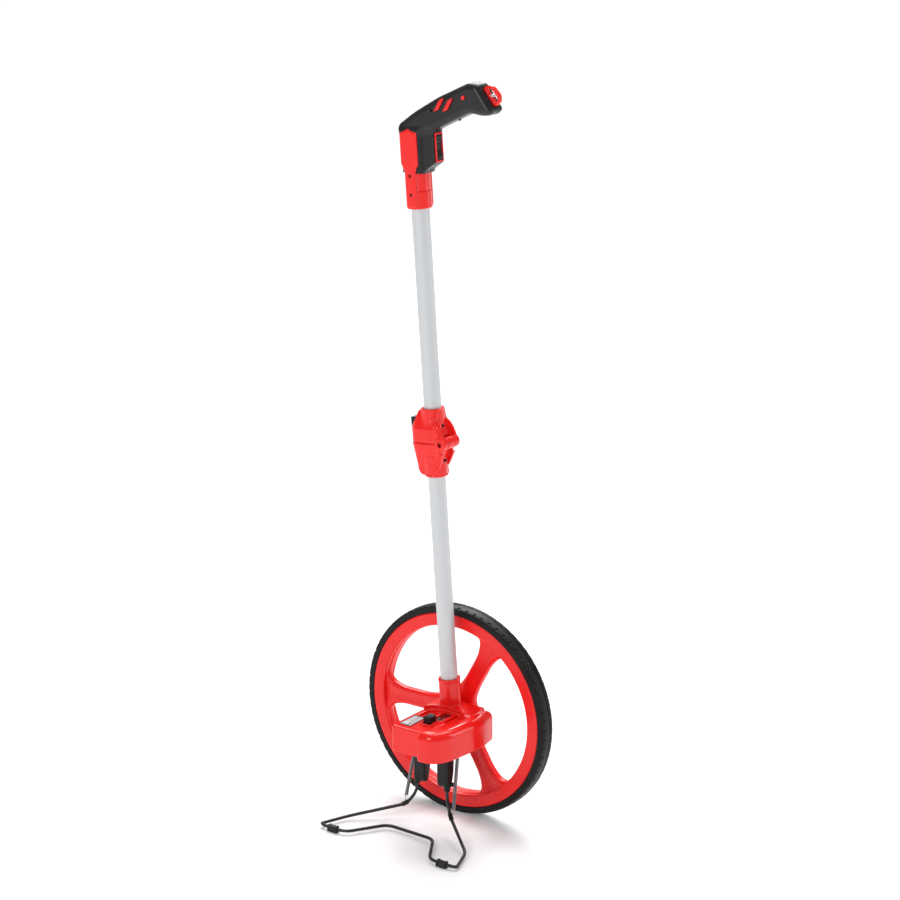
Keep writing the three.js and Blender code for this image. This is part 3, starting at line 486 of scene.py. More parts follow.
# ------------------------------------------------------------------ counter housing
FLOOR_Z, TOP_Z, CROWN_Z, CROWN = 137.0, 176.0, 181.0, 12.0
BOX_PLAN = soft_corners([(-15, -140), (42, -140), (42, -18.5), (-15, -18.5)], 2.4)
BODY_PLAN = soft_corners([(38.4, -149.2), (38.4, -150.7), (39.6, -151), (54, -150.5), (64, -146),
                          (72, -136), (77, -122), (80, -96), (82.5, -72), (82, -46), (76, -18.5),
                          (-4, -18.5), (20, -90)], 6)
HUMP_PLAN = soft_corners([(-13, -70), (-7, -60), (4, -52.5), (20, -49.5), (38, -52), (50, -58.5), (57, -68),
                          (64, -60), (67, -40), (62, -20.5), (-4, -20.5), (-13, -40)], 4)
BOWL_PLAN = soft_corners([(10, -137), (34, -136), (46, -130), (53, -118), (57, -102), (60, -84), (60, -50),
                          (10, -50)], 8)
POCKET_PLAN = soft_corners([(-7, -89), (46, -89), (51, -74), (49, -61), (38, -54.5), (20, -52), (4, -55),
                            (-6, -63)], 3)
KNOB_X, KNOB_Y = 26.0, -105.0
SOCKET_Z = 220.0
SOCKET = [(17.3 * math.cos(a), 17.3 * math.sin(a)) for a in np.arange(6) * math.pi / 3]
SOCKET_PLAN = soft_corners(SOCKET, 4.5)


def pole_axes(x, y, z):
    """The same points in the pole's space."""
    x, z = x - POLE_ORIGIN[0], z - POLE_ORIGIN[2]
    c, s = math.cos(POLE_TILT), math.sin(POLE_TILT)
    return x * c + z * s, y - POLE_ORIGIN[1], z * c - x * s


def housing_outside(x, y, z):
    """A square box, a rounded crowned body, a hump and the pole's six-sided socket, all in one."""
    box = rounded_pair(outline(x, y, BOX_PLAN), span(z, 100, TOP_Z), 1.5)
    body = rounded_pair(outline(x, y, BODY_PLAN), span(z, 60, CROWN_Z), CROWN)
    hump = rounded_pair(outline(x, y, HUMP_PLAN), span(z, 150, 182), 2.2)
    px, py, pz = pole_axes(x, y, z)
    top = SOCKET_Z - POLE_ORIGIN[2]
    six_sides = outline(px, py, SOCKET_PLAN)
    socket = rounded_pair(six_sides, span(pz, -420, top), 0.9)
    lip = rounded_pair(six_sides - 0.7, span(pz, top - 4, top), 0.7)
    body = carve(body, np.maximum(outline(x, y, BOWL_PLAN), 175 - z), 4.5)
    whole = fuse(fuse(box, body, 1.2), hump, 2.0)
    pedestal = block(x, y, z, (KNOB_X - 8.8, KNOB_Y - 11.8, 160), (KNOB_X + 8.8, KNOB_Y + 11.8, 179.5), 1.6)
    return fuse(fuse(whole, pedestal, 1.0), np.minimum(socket, lip), 2.5)


def housing_field(x, y, z):
    """The shell: hollow below, with a sunken pocket, the drums' window and the knob's seat."""
    outside = both(housing_outside(x, y, z), FLOOR_Z - z, 1.6)
    hollow = block(x, y, z, (-12.4, -137.4, 100), (76, -21.1, 172.9), 1)
    hollow = both(hollow, np.minimum(outline(x, y, BOX_PLAN), outline(x, y, BODY_PLAN)) + 2.6)
    pocket = outline(x, y, POCKET_PLAN)
    pocket_walls = np.maximum(pocket - 2.2, 169.5 - z)
    shell = carve(outside, carve(hollow, pocket_walls))
    shell = carve(shell, np.maximum(pocket, 171.5 - z), 1.4)
    shell = carve(shell, block(x, y, z, (COUNTER_X - 7, -86, 150), (COUNTER_X + 7, -55, 190), 0.8))
    seat = block(x, y, z, (KNOB_X - 7, KNOB_Y - 10, 174.6), (KNOB_X + 7, KNOB_Y + 10, 200), 0.8)
    shell = carve(shell, np.minimum(seat, rod(x - KNOB_X, y - KNOB_Y, z, 4.4, 150, 190)))
    px, py, pz = pole_axes(x, y, z)
    return carve(shell, rod(px, py, pz, TUBE_SOCKET, -385, -300))


piece("housing", skin(housing_field, (-17, -153, 135.5), (85, -17, 222.5), 1.0), "base", RED,
      ["housing_shell"], sharp=75)


def knob_field(x, y, z):
    """A cap with a finger hollow and grooved sides, on a stem with a stop."""
    dx, dy = x - KNOB_X, y - KNOB_Y
    cap = block(dx, dy, z, (-6, -8, 178.2), (6, 8, 189), 1.6)
    cap = carve(cap, np.hypot(dy, z - 201) - 13.2, 1.0)
    for k in (-5.6, -2.8, 0, 2.8, 5.6):
        cap = carve(cap, block(dx, dy, z, (5.4, k - 0.45, 180.5), (8, k + 0.45, 187)), 0.4)
        cap = carve(cap, block(dx, dy, z, (-8, k - 0.45, 180.5), (-5.4, k + 0.45, 187)), 0.4)
    stem = rod(dx, dy, z, 4, 158, 180)
    return np.minimum(np.minimum(cap, stem), rod(dx, dy, z, 6, 158, 160, 0.3))


piece("reset_button", skin(knob_field, (17, -117, 156), (35, -93, 192.5), 0.45), "reset", BLACK,
      ["reset_knob"], sharp=75)


def window_frame_field(x, y, z):
    rim = block(x, y, z, (12.4, -88.6, 171.6), (36, -54.4, 175), 1.2)
    return carve(rim, block(x, y, z, (17, -85.6, 160), (31.5, -56, 190), 1.5), 1.0)


piece("window_frame", skin(window_frame_field, (11, -90.5, 170), (37.5, -53, 176.5), 0.5), "base", RED)

LABEL_BOTTOM, LABEL_TOP = 176.2, 177.1
BAR_SUNK, BAR_PROUD = 0.1, 0.12
label_shape = soft_corners([(-9, -130), (10, -130), (10, -93), (-9, -93)], 2)
label_panel = slab(label_shape, LABEL_BOTTOM, LABEL_TOP, 0.25, "xyz")
piece("label_panel", label_panel, "base", LABEL, ["label_plate"])
BARS = [(-6.5, -128, 1.6, 33), (-3.6, -126, 3.0, 29), (1.2, -128, 1.2, 33), (4, -120, 1.4, 25),
        (7, -128, 1.4, 33)]  # x, y, width, length
bars = [slab([(u, v), (u + w, v), (u + w, v + h), (u, v + h)],
             LABEL_TOP - BAR_SUNK, LABEL_TOP + BAR_PROUD, 0.04, "xyz")
        for u, v, w, h in BARS]
piece("label_bars", merged(*bars), "base", LABEL_BAR)

# ------------------------------------------------------------------ counter drums
DRUM_Y, DRUM_PITCH, DRUM_WIDTH, DRUM_RADIUS, DRUM_BORE = -57.0, 6.0, 5.4, 9.2, 2.3
DIGIT_HEIGHT, DIGIT_HALF_DEPTH, DIGIT_SUNK, DIGIT_RELIEF = 4.6, 0.02, 0.02, 2.5


def digit(character):
    """A solid digit 1 high, centred, lying in x and y."""
    text = bpy.data.curves.new("digit", "FONT")
    text.body = character
    text.align_x, text.align_y = "CENTER", "CENTER"
    text.extrude = DIGIT_HALF_DEPTH
    text.resolution_u = 3
    obj = bpy.data.objects.new("digit", text)
    bpy.context.scene.collection.objects.link(obj)
    bpy.context.view_layer.update()
    mesh = bpy.data.meshes.new_from_object(obj.evaluated_get(bpy.context.evaluated_depsgraph_get()))
    points = np.array([v.co[:] for v in mesh.vertices])
    faces = [list(p.vertices) for p in mesh.polygons]
    bpy.data.objects.remove(obj)
    bpy.data.curves.remove(text)
    bpy.data.meshes.remove(mesh)
    middle = (points.min(0) + points.max(0)) / 2
    return points - [middle[0], middle[1], 0], faces


DIGITS = [digit(str(n)) for n in range(10)]
for drum in range(5):
    front = DRUM_Y - drum * DRUM_PITCH
    ring = [(DRUM_BORE, front), (DRUM_BORE, front - DRUM_WIDTH), (DRUM_RADIUS - 0.4, front - DRUM_WIDTH),
            (DRUM_RADIUS, front - DRUM_WIDTH + 0.4), (DRUM_RADIUS, front - 0.4), (DRUM_RADIUS - 0.4, front)]
    body = "counter_input" if drum == 0 else f"drum_{drum + 1}"
    drum_finish, mark_finish, slot = (RED, WHITE, "red_drum") if drum == 0 else (WHITE, INK, "white_plastic")
    piece(f"number_wheel_{drum + 1}", turned(ring, 60, at=(COUNTER_X, AXLE_Z)), body, drum_finish,
          [f"digit_drum_{drum + 1}"], sharp=30)
    marks = []
    for n, (points, faces) in enumerate(DIGITS):
        angle = 2 * math.pi * n / 10 + math.pi / 2 - points[:, 0] * DIGIT_HEIGHT / DRUM_RADIUS
        radius = DRUM_RADIUS - DIGIT_SUNK + (points[:, 2] + DIGIT_HALF_DEPTH) * DIGIT_RELIEF
        marks.append((np.stack([COUNTER_X + radius * np.cos(angle),
                                front - DRUM_WIDTH / 2 + points[:, 1] * DIGIT_HEIGHT,
                                AXLE_Z + radius * np.sin(angle)], 1), faces))
    piece(f"numerals_{drum + 1}", merged(*marks), body, mark_finish)

# ------------------------------------------------------------------ folding stand
WIRE_RADIUS, WIRE_HOLE, WIRE_BEND, WIRE_Z = 2.4, 2.7, 12, 6.0
LEG_X, FOOT_X, FOOT_Y, FOOT_Z = 26.8, 98, -173, 5.2
PIVOT_HOLE = 3.3
HALF_ROUTE = [(LEG_X, -65, 84), (LEG_X, -65, 46), (39, -73.5, 24.5), (106, -127, WIRE_Z),
              (122, -170, WIRE_Z), (116, FOOT_Y, WIRE_Z), (76, FOOT_Y, WIRE_Z), (41, -117.5, WIRE_Z)]
ROUTE = HALF_ROUTE + [(-x, y, z) for x, y, z in reversed(HALF_ROUTE)]
stand_rod = swept(bent(ROUTE, WIRE_BEND), WIRE_RADIUS, 16)
piece("stand_rod", stand_rod, "stand", WIRE, ["stand_wire"], sharp=60)

# In front, the arm stays within 9 mm of the pivot, because the stand mount is close there when it is folded.
ARM_SHAPE = soft_corners([(-8, 4), (-5, 8), (5, 8), (9, 2), (10.5, -14), (9.5, -38), (4, -60),
                          (-5.5, -60), (-8, -50)], 6)


def arm_field(x, y, z):
    """A tapered arm: a boss at the pivot, a lobe inside, a stud outside, and a collar round the wire."""
    y, z = y - STAND_PIVOT[0], z - STAND_PIVOT[1]
    arm = rounded_pair(outline(y, z, ARM_SHAPE), span(x, 11, 31), 3.2)
    arm = fuse(arm, rod(y, z, x, 8.6, 10.4, 32.4, 1.2), 2)
    lobe = np.sqrt((x - 14.5) ** 2 + (y - 1.4) ** 2 + ((z + 17) * 0.8) ** 2) - 8.5
    arm = fuse(arm, lobe, 3)
    stud = rod(y - 2, z + 54, x, 3.4, 28, 34.6, 1)
    arm = fuse(arm, stud, 1)
    collar = rod(x - LEG_X, y + 3, z, 4.6, -64, -50, 1)
    arm = fuse(arm, collar, 2)
    wire_hole = rod(x - LEG_X, y + 3, z, WIRE_HOLE, -80, -36)
    return carve(arm, np.minimum(rod(y, z, x, PIVOT_HOLE, 0, 60), wire_hole))


arm = skin(arm_field, (8.5, -74, 55), (36, -44, 133), 0.8)
piece("arm_right", arm, "stand", BLACK, ["stand_arm_right"], sharp=75)
piece("arm_left", mirrored(arm), "stand", BLACK, ["stand_arm_left"], sharp=75)


def foot_field(x, y, z):
    """A rubber block on the wire with a thicker band at each end and a pad below."""
    y, z = y - FOOT_Y, z - FOOT_Z
    core = block(x, y, z, (-8.6, -3.9, -4.7), (8.6, 3.9, 4.6), 1.8)
    for k in (-6.6, 6.6):
        core = fuse(core, block(x, y, z, (k - 2, -4.3, -5), (k + 2, 4.3, 5), 1.2), 0.6)
    core = fuse(core, block(x, y, z, (-4, -4.1, -5), (4, 4.1, -1), 1), 0.6)
    return carve(core, rod(y, z + FOOT_Z - WIRE_Z, x, WIRE_HOLE, -20, 20))


foot = skin(foot_field, (-10, -179, -1), (10, -167, 11.6), 0.5)
for side, word in ((-1, "left"), (1, "right")):
    moved = (foot[0] + [side * FOOT_X, 0, 0], foot[1])
    piece(f"foot_{word}", moved, "stand", FOOT, [f"stand_foot_{word}"])

ANCHOR, SPRING_FOOT = np.array([36.2, -49.6, 132.1]), np.array([43.7, -73.0, 25.5])
SPRING_WIRE, COIL_RADIUS, COIL_PITCH, HOOK_RADIUS = 0.52, 2.3, 1.2, 2.1
COIL_START, COIL_END = 24.0, 8.0  # from the anchor, and short of the wire
SLEEVE_RADIUS, SLEEVE_REACH = 3.4, 6.5


def coil_spring():
    """A close-wound tension spring, hooked round the anchor and on a straight shank down to the wire."""
    along = SPRING_FOOT - ANCHOR
    length = np.linalg.norm(along) - WIRE_RADIUS
    along = along / np.linalg.norm(along)
    across = np.cross(along, [1, 0, 0])
    across /= np.linalg.norm(across)
    side = np.cross(along, across)
    top_hook = [ANCHOR + HOOK_RADIUS * (math.cos(a) * across - math.sin(a) * along)
                for a in np.linspace(-0.6 * math.pi, 1.15 * math.pi, 22)]
    start, end = COIL_START, length - COIL_END
    turns = int((end - start) / COIL_PITCH)
    s = np.linspace(0, 1, turns * 12)
    angle = 2 * math.pi * turns * s
    coil = [ANCHOR + along * (start + (end - start) * t)
            + COIL_RADIUS * (math.cos(a) * across + math.sin(a) * side) for t, a in zip(s, angle)]
    shank = [ANCHOR + along * d for d in (4.5, 10, 17, 22)]
    tail = [ANCHOR + along * d for d in (length - 6, length - 3, length - 0.6)]
    return swept(top_hook[::-1] + shank + coil + tail, SPRING_WIRE, 7)


spring = coil_spring()
piece("coil_right", spring, "spring_right", SPRING, ["stand_spring_right"], sharp=60)
piece("coil_left", mirrored(spring), "spring_left", SPRING, ["stand_spring_left"], sharp=60)
path = np.array(bent(HALF_ROUTE, WIRE_BEND, 0.4))
near_spring = np.linalg.norm(path - SPRING_FOOT, axis=1) < SLEEVE_REACH
sleeve = swept(path[near_spring], SLEEVE_RADIUS, 18)
piece("hook_sleeve_right", sleeve, "stand", BLACK)
piece("hook_sleeve_left", mirrored(sleeve), "stand", BLACK)

# ------------------------------------------------------------------ pole and fold
LOWER_FOOT = (186 - POLE_ORIGIN[2]) / math.cos(POLE_TILT)


def tube(low, high):
    """A tube with chamfered rims."""
    inner, rim, outer = TUBE_BORE, TUBE_RADIUS - 0.3, TUBE_RADIUS
    profile = [(inner, low), (rim, low), (outer, low + 0.4), (outer, high - 0.4), (rim, high), (inner, high)]
    return turned(profile, 96, "z")


piece("tube_lower", tube(LOWER_FOOT, -12.5), "base", TUBE, ["lower_tube"], pole_space, 30)
piece("tube_upper", tube(12.5, 425), "upper_pole", TUBE, ["upper_tube"], pole_space, 30)

UPPER_SIDE = soft_corners([(-34.4, 0.35), (29.4, 0.35), (28.4, 6), (20, 28), (14, 33), (14, 47), (-16, 47),
                           (-22, 33), (-28, 26), (-33, 14)], 2.6)
UPPER_CORE = soft_corners([(-34.4, 0.35), (22, 0.35), (21, 6), (14.5, 27), (12, 46), (-16, 46),
                           (-22, 33), (-28, 26), (-33, 14)], 2.6)
LOWER_SIDE = soft_corners([(-33, -0.35), (-31, -12), (-28.5, -27), (-23, -40), (-16, -47), (14, -47),
                           (13, -36), (16, -33), (28.4, -4), (29.4, -0.35)], 2.6)
LOWER_CORE = soft_corners([(-33, -0.35), (-31, -12), (-28.5, -27), (-23, -40), (-16, -46), (12, -46),
                           (11, -34), (20, -5), (21, -0.35)], 2.6)

# The curved edges that the cheeks' ribs follow.
UPPER_CREST = soft_corners([(-50, 0), (29.4, 0), (28.4, 6), (19.5, 27), (5, 38), (-50, 38)], 6)
LOWER_CREST = soft_corners([(-50, 0), (29.4, 0), (28.4, -4), (16.5, -32), (6, -43), (-50, -43)], 6)
CHEEK_HALF, CHEEK_DEPTH = 18, 5.4
KNUCKLE_RADIUS, KNUCKLE_CLEARANCE, PIN_RADIUS, PIN_HOLE = 9.4, 9.9, 2.45, 2.7
SCREW_HOLE = 2.1


def fold_half(x, y, z, side, core, crest, sign):
    """One half of the fold: two ribbed cheeks that run on to the rear, a core between, and a collar."""

    def bar(radius, near, far, edge=0.0):
        """A round bar along the pole, from one distance from the fold to another."""
        low, high = sorted((sign * near, sign * far))
        return rod(x, y, z, radius, low, high, edge)

    half = CHEEK_HALF - np.clip(np.abs(z) - (20 if sign > 0 else 4), 0, 30) * (0.22 if sign > 0 else 0.14)
    nose = np.hypot(np.minimum(x + 15, 0) * (1 + 0.03 * (CHEEK_HALF - half)), y) - half - 1.2
    profile = outline(x, z, side)
    inward = -outline(x, z, crest)
    ribs = np.exp(-(((inward - 1.1) / 1.1) ** 2)) + np.exp(-(((inward - 5.2) / 1.2) ** 2))
    ribs = np.minimum(ribs, 1) * np.clip((np.abs(z) - 5) / 4, 0, 1)
    relief = 1.9 * (1 - ribs) * np.clip((x - 1) / 6, 0, 1)
    cheek = np.maximum(np.abs(y) - half + relief, half - CHEEK_DEPTH - np.abs(y))
    cheeks = rounded_pair(profile, cheek, 1.0)
    middle = rounded_pair(outline(x, z, core), np.abs(y) - half + 2.2, 1.3)
    body = both(fuse(cheeks, middle, 0.8), nose, 2.0)
    body = fuse(body, np.minimum(bar(16, 20, 49, 0.9), bar(16.6, 46.4, 49, 0.7)), 2)
    return carve(body, bar(TUBE_SOCKET, 12, 60))


def upper_fold_field(x, y, z):
    """The upper half, with two ears for the pin and a window for the latch."""
    body = fold_half(x, y, z, UPPER_SIDE, UPPER_CORE, UPPER_CREST, 1)
    dx = x - FOLD_PIN_X
    ears = rounded_pair(np.hypot(dx, z) - KNUCKLE_RADIUS, span(np.abs(y), 8.5, 18), 0.8)
    boss = rounded_pair(np.hypot(dx, z) - 5.2, span(np.abs(y), 12, 19), 0.8)
    body = np.minimum(fuse(body, ears, 0.6), boss)
    gap = block(x, np.abs(y), z, (FOLD_PIN_X - 10.4, -20, -14), (60, 8.5, 10.4))
    body = carve(body, np.minimum(gap, np.hypot(dx, z) - PIVOT_HOLE), 0.3)
    body = carve(body, block(x, y, z, (-60, -7.4, 16.6), (-12, 7.4, 35)), 0.4)
    return carve(body, rod(y, z - 24, x, SCREW_HOLE, 10, 40), 0.3)


def lower_fold_field(x, y, z):
    """The lower half, with one knuckle between the ears."""
    body = fold_half(x, y, z, LOWER_SIDE, LOWER_CORE, LOWER_CREST, -1)
    dx = x - FOLD_PIN_X
    body = carve(body, np.maximum(np.hypot(dx, z) - KNUCKLE_CLEARANCE, 7.8 - np.abs(y)), 0.3)
    body = carve(body, block(x, y, z, (20.4, -30, -14), (60, 30, -8)), 0.3)
    body = np.minimum(body, rounded_pair(np.hypot(dx, z) - KNUCKLE_RADIUS, np.abs(y) - 8, 0.8))
    body = carve(body, np.hypot(dx, z) - PIN_HOLE)
    return carve(body, rod(y, z + 26, x, SCREW_HOLE, 8, 40), 0.3)


piece("fold_upper", skin(upper_fold_field, (-37, -21, -11), (33, 21, 51), 0.75), "upper_pole", RED,
      ["hinge_upper"], pole_space, 75)
piece("fold_lower", skin(lower_fold_field, (-36, -21, -51), (33, 21, 11), 0.75), "base", RED,
      ["hinge_lower"], pole_space, 75)

PIN = [(0.01, -16), (2.1, -16), (PIN_RADIUS, -15.6), (PIN_RADIUS, 15.6), (2.1, 16), (0.01, 16)]
fold_pin = turned(PIN, 40, at=(FOLD_PIN_X, 0))
piece("fold_pin", fold_pin, "base", DARK_STEEL, ["hinge_pin"], pole_space, 30)


def latch_field(x, y, z):
    """A grooved key with a seat for its spring."""
    body = block(x, y, z, (-35, -6.8, 18), (-19, 6.8, 34), 1.2)
    for k in (20.4, 23.2, 26, 28.8, 31.6):
        body = carve(body, block(x, y, z, (-37, -5.2, k - 0.5), (-34.1, 5.2, k + 0.5)), 0.5)
    return carve(body, rod(y, z - 24, x, 4, -25, -17))


piece("latch_key", skin(latch_field, (-36.5, -8.5, 16), (-17.5, 8.5, 35.5), 0.5), "latch", BLACK,
      ["latch_button"], pole_space, 75)

# ------------------------------------------------------------------ handle
GRIP_SHAPE = soft_corners([(-15, 424), (30, 437), (37.5, 438), (45.9, 441.6), (75.9, 453.7), (100, 462.6),
                           (110, 461.6), (120, 459.6), (134, 460.3), (140.8, 467), (117.5, 501), (110, 503.6),
                           (100, 503.4), (50, 484.7), (6.3, 462.8), (-20, 446.5), (-20, 438)], 9, 7)
BLOCK_SHAPE = soft_corners([(0, 381), (15.5, 381), (37.5, 394), (37.5, 446), (0, 446)], 2.4)
LOOP_AT, LOOP_TILT = np.array([129.5, 484.0]), math.radians(36)
GRIP_HALF, SHANK_HALF = 17.0, 17
TRIGGER_Z = 415


def loop_axes(x, z):
    """Along the butt's face normal, and up along the face."""
    dx, dz = x - LOOP_AT[0], z - LOOP_AT[1]
    c, s = math.cos(LOOP_TILT), math.sin(LOOP_TILT)
    return dx * c + dz * s, dz * c - dx * s


def trigger_opening(x, y, z):
    return block(x, y, z, (24, -6.6, 397.4), (60, 6.6, 432.6))


def handle_field(x, y, z):
    """The grip, waisted along its length, on a shank with the trigger's block behind it."""
    along = np.clip((x - 8) / 118, 0, 1)
    half = GRIP_HALF - 2.4 * np.sin(along * math.pi) ** 2
    grip = rounded_pair(outline(x, z, GRIP_SHAPE), np.abs(y) - half, 9)
    shank = np.maximum(rounded_pair(span(x, -15.5, 18), np.abs(y) - SHANK_HALF, 5), span(z, 381, 438))
    trigger_block = rounded_pair(outline(x, z, BLOCK_SHAPE), np.abs(y) - 11, 1.6)
    body = fuse(fuse(grip, trigger_block, 4), shank, 8)
    n, t = loop_axes(x, z)
    face = np.maximum(np.maximum(1.2 - n, np.abs(t) - 15.5), np.abs(y) - 10)
    body = carve(body, face - 1.0, 1.5)
    body = body + 0.5 * np.exp(-((y / 0.8) ** 2)) * (x < 128)
    body = carve(body, rod(x, y, z, TUBE_SOCKET, 300, 428))
    body = carve(body, trigger_opening(x, y, z))
    nub = np.sqrt((x - 76) ** 2 + y**2 + (z - 453.4) ** 2) - 2.2
    body = fuse(body, nub, 1)
    body = carve(body, np.maximum(np.hypot(x - 40, z - 467.4) - 2.4, y + 13.2), 0.6)
    loop_slot = np.maximum(np.maximum(np.abs(t) - 15.6, np.abs(y) - 4), np.abs(n - 1) - 5)
    return carve(body, loop_slot, 0.3)


piece("handle", skin(handle_field, (-22, -19, 379), (144, 19, 508), 0.95), "upper_pole", GRIP,
      ["handle_shell_left", "handle_shell_right"], pole_space, 75)

SHIELD = [(-14.5, 394), (-9, 382.5), (-9, 333), (9, 333), (9, 382.5), (14.5, 394), (14.5, 436), (0, 441.5),
          (-14.5, 436)]
COLLAR_SCREWS = (351, 377)


def shield_field(x, y, z):
    """A thin plate on the shank's side, with a wide bevel round its edge."""
    flat = outline(x, z, soft_corners(SHIELD, 1.2))
    bevel = 0.42 * np.clip(flat + 2.6, 0, 3)
    plate = both(np.maximum(flat, y + 17.2), bevel - y - 19.8, 0.4)
    holes = np.minimum(*[np.hypot(x, z - h) - 2.3 for h in COLLAR_SCREWS])
    return carve(plate, holes, 0.3)


shield = skin(shield_field, (-16, -21, 331.5), (16, -16, 443), 0.6)
piece("shield_near", shield, "upper_pole", RED, ["shield_left"], pole_space, 75)
piece("shield_far", mirrored(shield, (1, -1, 1)), "upper_pole", RED, ["shield_right"],
      pole_space, 75)


def collar_field(x, y, z):
    """A sleeve on the tube with a wider foot and flat sides."""
    sleeve = rod(x, y, z, 16, 331, 380.7, 0.8)
    foot = rod(x, y, z, 16.9, 331, 355, 0.9)
    flats = block(x, y, z, (-9, -17.1, 331), (9, 17.1, 380.7), 0.6)
    body = fuse(np.minimum(sleeve, foot), flats, 1.5)
    body = carve(body, rod(x, y, z, TUBE_SOCKET, 300, 400))
    holes = np.minimum(*[np.hypot(x, z - h) - SCREW_HOLE for h in COLLAR_SCREWS])
    return carve(body, holes)


piece("collar", skin(collar_field, (-18.5, -18.5, 329.5), (18.5, 18.5, 382), 0.7), "upper_pole", RED,
      ["handle_collar"], pole_space, 75)


def trigger_field(x, y, z):
    """A hollowed, grooved key with a seat for its spring."""
    body = block(x, y, z, (30, -6.2, 398), (40, 6.2, 432), 1.4)
    body = carve(body, np.hypot(x - 66, z - TRIGGER_Z) - 28.2, 1)
    for k in range(-2, 3):
        groove = TRIGGER_Z + 5 * k
        body = carve(body, block(x, y, z, (37.4, -4.4, groove - 0.4), (42, 4.4, groove + 0.4)), 0.4)
    return carve(body, rod(y, z - TRIGGER_Z, x, 4, 28, 35))


piece("trigger_key", skin(trigger_field, (28.5, -7.5, 396.5), (41.5, 7.5, 433.5), 0.5), "trigger_lever",
      BLACK, ["trigger"], pole_space, 75)


def bezel_field(x, y, z):
    bezel = block(x, y, z, (37.4, -8.4, 395), (39.4, 8.4, 435), 0.6)
    return carve(bezel, trigger_opening(x, y, z), 0.2)


piece("trigger_frame", skin(bezel_field, (36, -9.6, 393.5), (41, 9.6, 436.5), 0.4), "upper_pole", RED,
      ["trigger_bezel"], pole_space, 75)

LOOP_SHAPE = soft_corners([(-1.5, -15), (7, -15), (13.5, -12), (14.6, -4), (13, 8), (9, 14), (3, 15),
                           (-1.5, 15)], 3)
EYE_SHAPE = soft_corners([(2.2, -11), (9, -11), (10.6, -4), (9.6, 5), (7, 11), (2.2, 11)], 2)


def loop_field(x, y, z):
    n, t = loop_axes(x, z)
    plate = rounded_pair(outline(n, t, LOOP_SHAPE), np.abs(y) - 3.6, 1.2)
    return carve(plate, outline(n, t, EYE_SHAPE), 0.8)


piece("end_loop", skin(loop_field, (112, -5, 466), (145, 5, 505), 0.45), "upper_pole", RED,
      ["lanyard_loop"], pole_space, 75)
c, s = math.cos(LOOP_TILT), math.sin(LOOP_TILT)
BAR_OUT, BAR_DOWN, BAR_HALF = 5.4, 1, 5.4  # along the butt's normal, down its face, and along y
bar_at = (LOOP_AT[0] + BAR_OUT * c + BAR_DOWN * s, LOOP_AT[1] + BAR_OUT * s - BAR_DOWN * c)
BAR = [(0.01, -BAR_HALF), (1.5, -BAR_HALF), (1.9, -5), (1.9, 5), (1.5, BAR_HALF), (0.01, BAR_HALF)]
piece("loop_bar", turned(BAR, 32, at=bar_at), "upper_pole", STEEL, (), pole_space, 30)

INLAY_BACK, STRIPE_FACE, PLUG_FACE = -13.9, -17.0, -17.4
for word, low_x in (("front", 45), ("rear", 60)):
    shape = soft_corners([(low_x, 465), (low_x + 8, 468), (low_x + 18, 484), (low_x + 10, 480.5)], 0.8, 3)
    stripe = slab(shape, STRIPE_FACE, INLAY_BACK, 0.3)
    piece(f"grip_stripe_{word}", stripe, "upper_pole", RED, [f"stripe_{word}"], pole_space)
plug_shape = soft_corners([(93, 481), (98, 483), (98, 488), (93, 486.5)], 0.8, 3)
grip_plug = slab(plug_shape, PLUG_FACE, INLAY_BACK, 0.3)
piece("grip_dot", grip_plug, "upper_pole", RED, ["grip_plug"], pole_space)

# ------------------------------------------------------------------ CAD parts that keep their shape
EDGE_WIDTH, EDGE_ANGLE, SHARP_ANGLE = 0.0003, math.radians(40), math.radians(32)
KEPT = {
    BLACK: ["bottom_cover", "stand_mount"],
    STEEL: ["cover_screw_1", "cover_screw_2", "cover_screw_3", "cover_screw_4", "reset_spring",
            "counter_frame", "axle", "axle_nut", "stand_pin", "latch_spring", "trigger_spring",
            "counter_shaft"],
    DARK_STEEL: ["hinge_screw_lower", "hinge_screw_upper", "collar_screw_1", "collar_screw_2"],
    BRASS: ["outer_bush", "inner_bush"],
    WHITE: ["drive_gear", "counter_gear"],
    CLEAR: ["window_lens"],
}
for material, names in KEPT.items():
    for name in names:
        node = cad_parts[name]
        node.data.materials.clear()
        node.data.materials.append(material)
        node.data.shade_smooth()
        node.data.set_sharp_from_angle(angle=SHARP_ANGLE)
        bevel = node.modifiers.new("soft_edges", "BEVEL")
        bevel.width, bevel.segments, bevel.limit_method = EDGE_WIDTH, 2, "ANGLE"
        bevel.angle_limit = EDGE_ANGLE

# ------------------------------------------------------------------ stage, light and camera
FLOOR_HALF = 60.0
FLOOR_GLOW, WORLD_GLOW = 0.12, 0.34
SUN_POWER, SUN_SPREAD, SUN_TURN = 2.6, math.radians(55), (math.radians(-24), math.radians(-14), 0)
LENS, SENSOR, FARTHEST = 100, 36, 100
CAMERA_PLACE, CAMERA_AIM = Vector((2.0121, -2.65915, 1.5403)), Vector((-0.0159, 0.07875, 0.5487))

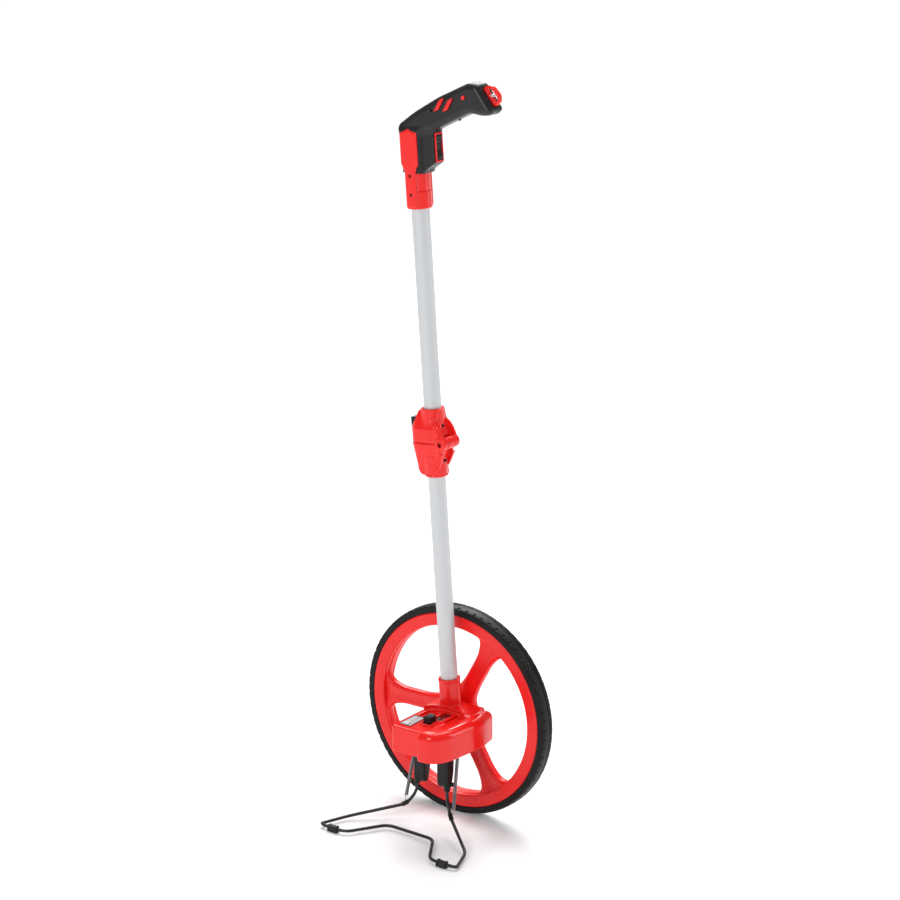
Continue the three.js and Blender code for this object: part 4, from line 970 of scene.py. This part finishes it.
stage_mesh = bpy.data.meshes.new("floor")
stage_mesh.from_pydata([(-FLOOR_HALF, -FLOOR_HALF, 0), (FLOOR_HALF, -FLOOR_HALF, 0),
                        (FLOOR_HALF, FLOOR_HALF, 0), (-FLOOR_HALF, FLOOR_HALF, 0)], [], [(0, 1, 2, 3)])
floor = bpy.data.objects.new("floor", stage_mesh)
bpy.context.scene.collection.objects.link(floor)
paper = finish("studio_floor", (0.86, 0.86, 0.87), 0.8, grain=60, bump=0.0, mottle=0.0, specular=0.0)
paper_shader = paper.node_tree.nodes["Principled BSDF"]
paper_shader.inputs["Emission Color"].default_value = (1, 1, 1, 1)
paper_shader.inputs["Emission Strength"].default_value = FLOOR_GLOW
floor.data.materials.append(paper)

world = bpy.data.worlds.new("studio")
world.use_nodes = True
world.node_tree.nodes["Background"].inputs["Color"].default_value = (1, 1, 1, 1)
world.node_tree.nodes["Background"].inputs["Strength"].default_value = WORLD_GLOW
bpy.context.scene.world = world
bpy.context.scene.view_settings.view_transform = "Standard"


def softbox(name, place, aim, size, power):
    """A rectangular lamp at place, turned towards aim."""
    light = bpy.data.lights.new(name, "AREA")
    light.shape, light.size, light.size_y, light.energy = "RECTANGLE", size[0], size[1], power
    obj = bpy.data.objects.new(name, light)
    obj.location = place
    obj.rotation_euler = (Vector(aim) - Vector(place)).to_track_quat("-Z", "Y").to_euler()
    bpy.context.scene.collection.objects.link(obj)


softbox("key", (0.1, -3.3, 2.3), (0, 0, 0.5), (1.1, 1.5), 42)
softbox("side", (2.7, 1.9, 1.7), (0, 0, 0.5), (0.6, 2.4), 20)
softbox("back", (-1.6, 2.4, 2.6), (0, 0, 0.7), (1.6, 1.2), 50)
overhead = bpy.data.lights.new("overhead", "SUN")
overhead.energy, overhead.angle = SUN_POWER, SUN_SPREAD
overhead_object = bpy.data.objects.new("overhead", overhead)
overhead_object.rotation_euler = SUN_TURN
bpy.context.scene.collection.objects.link(overhead_object)

camera = bpy.data.objects.new("camera", bpy.data.cameras.new("camera"))
camera.data.lens, camera.data.sensor_width = LENS, SENSOR
camera.data.clip_end = FARTHEST
camera.location = CAMERA_PLACE
camera.rotation_euler = (CAMERA_AIM - CAMERA_PLACE).to_track_quat("-Z", "Y").to_euler()
bpy.context.scene.collection.objects.link(camera)
bpy.context.scene.camera = camera
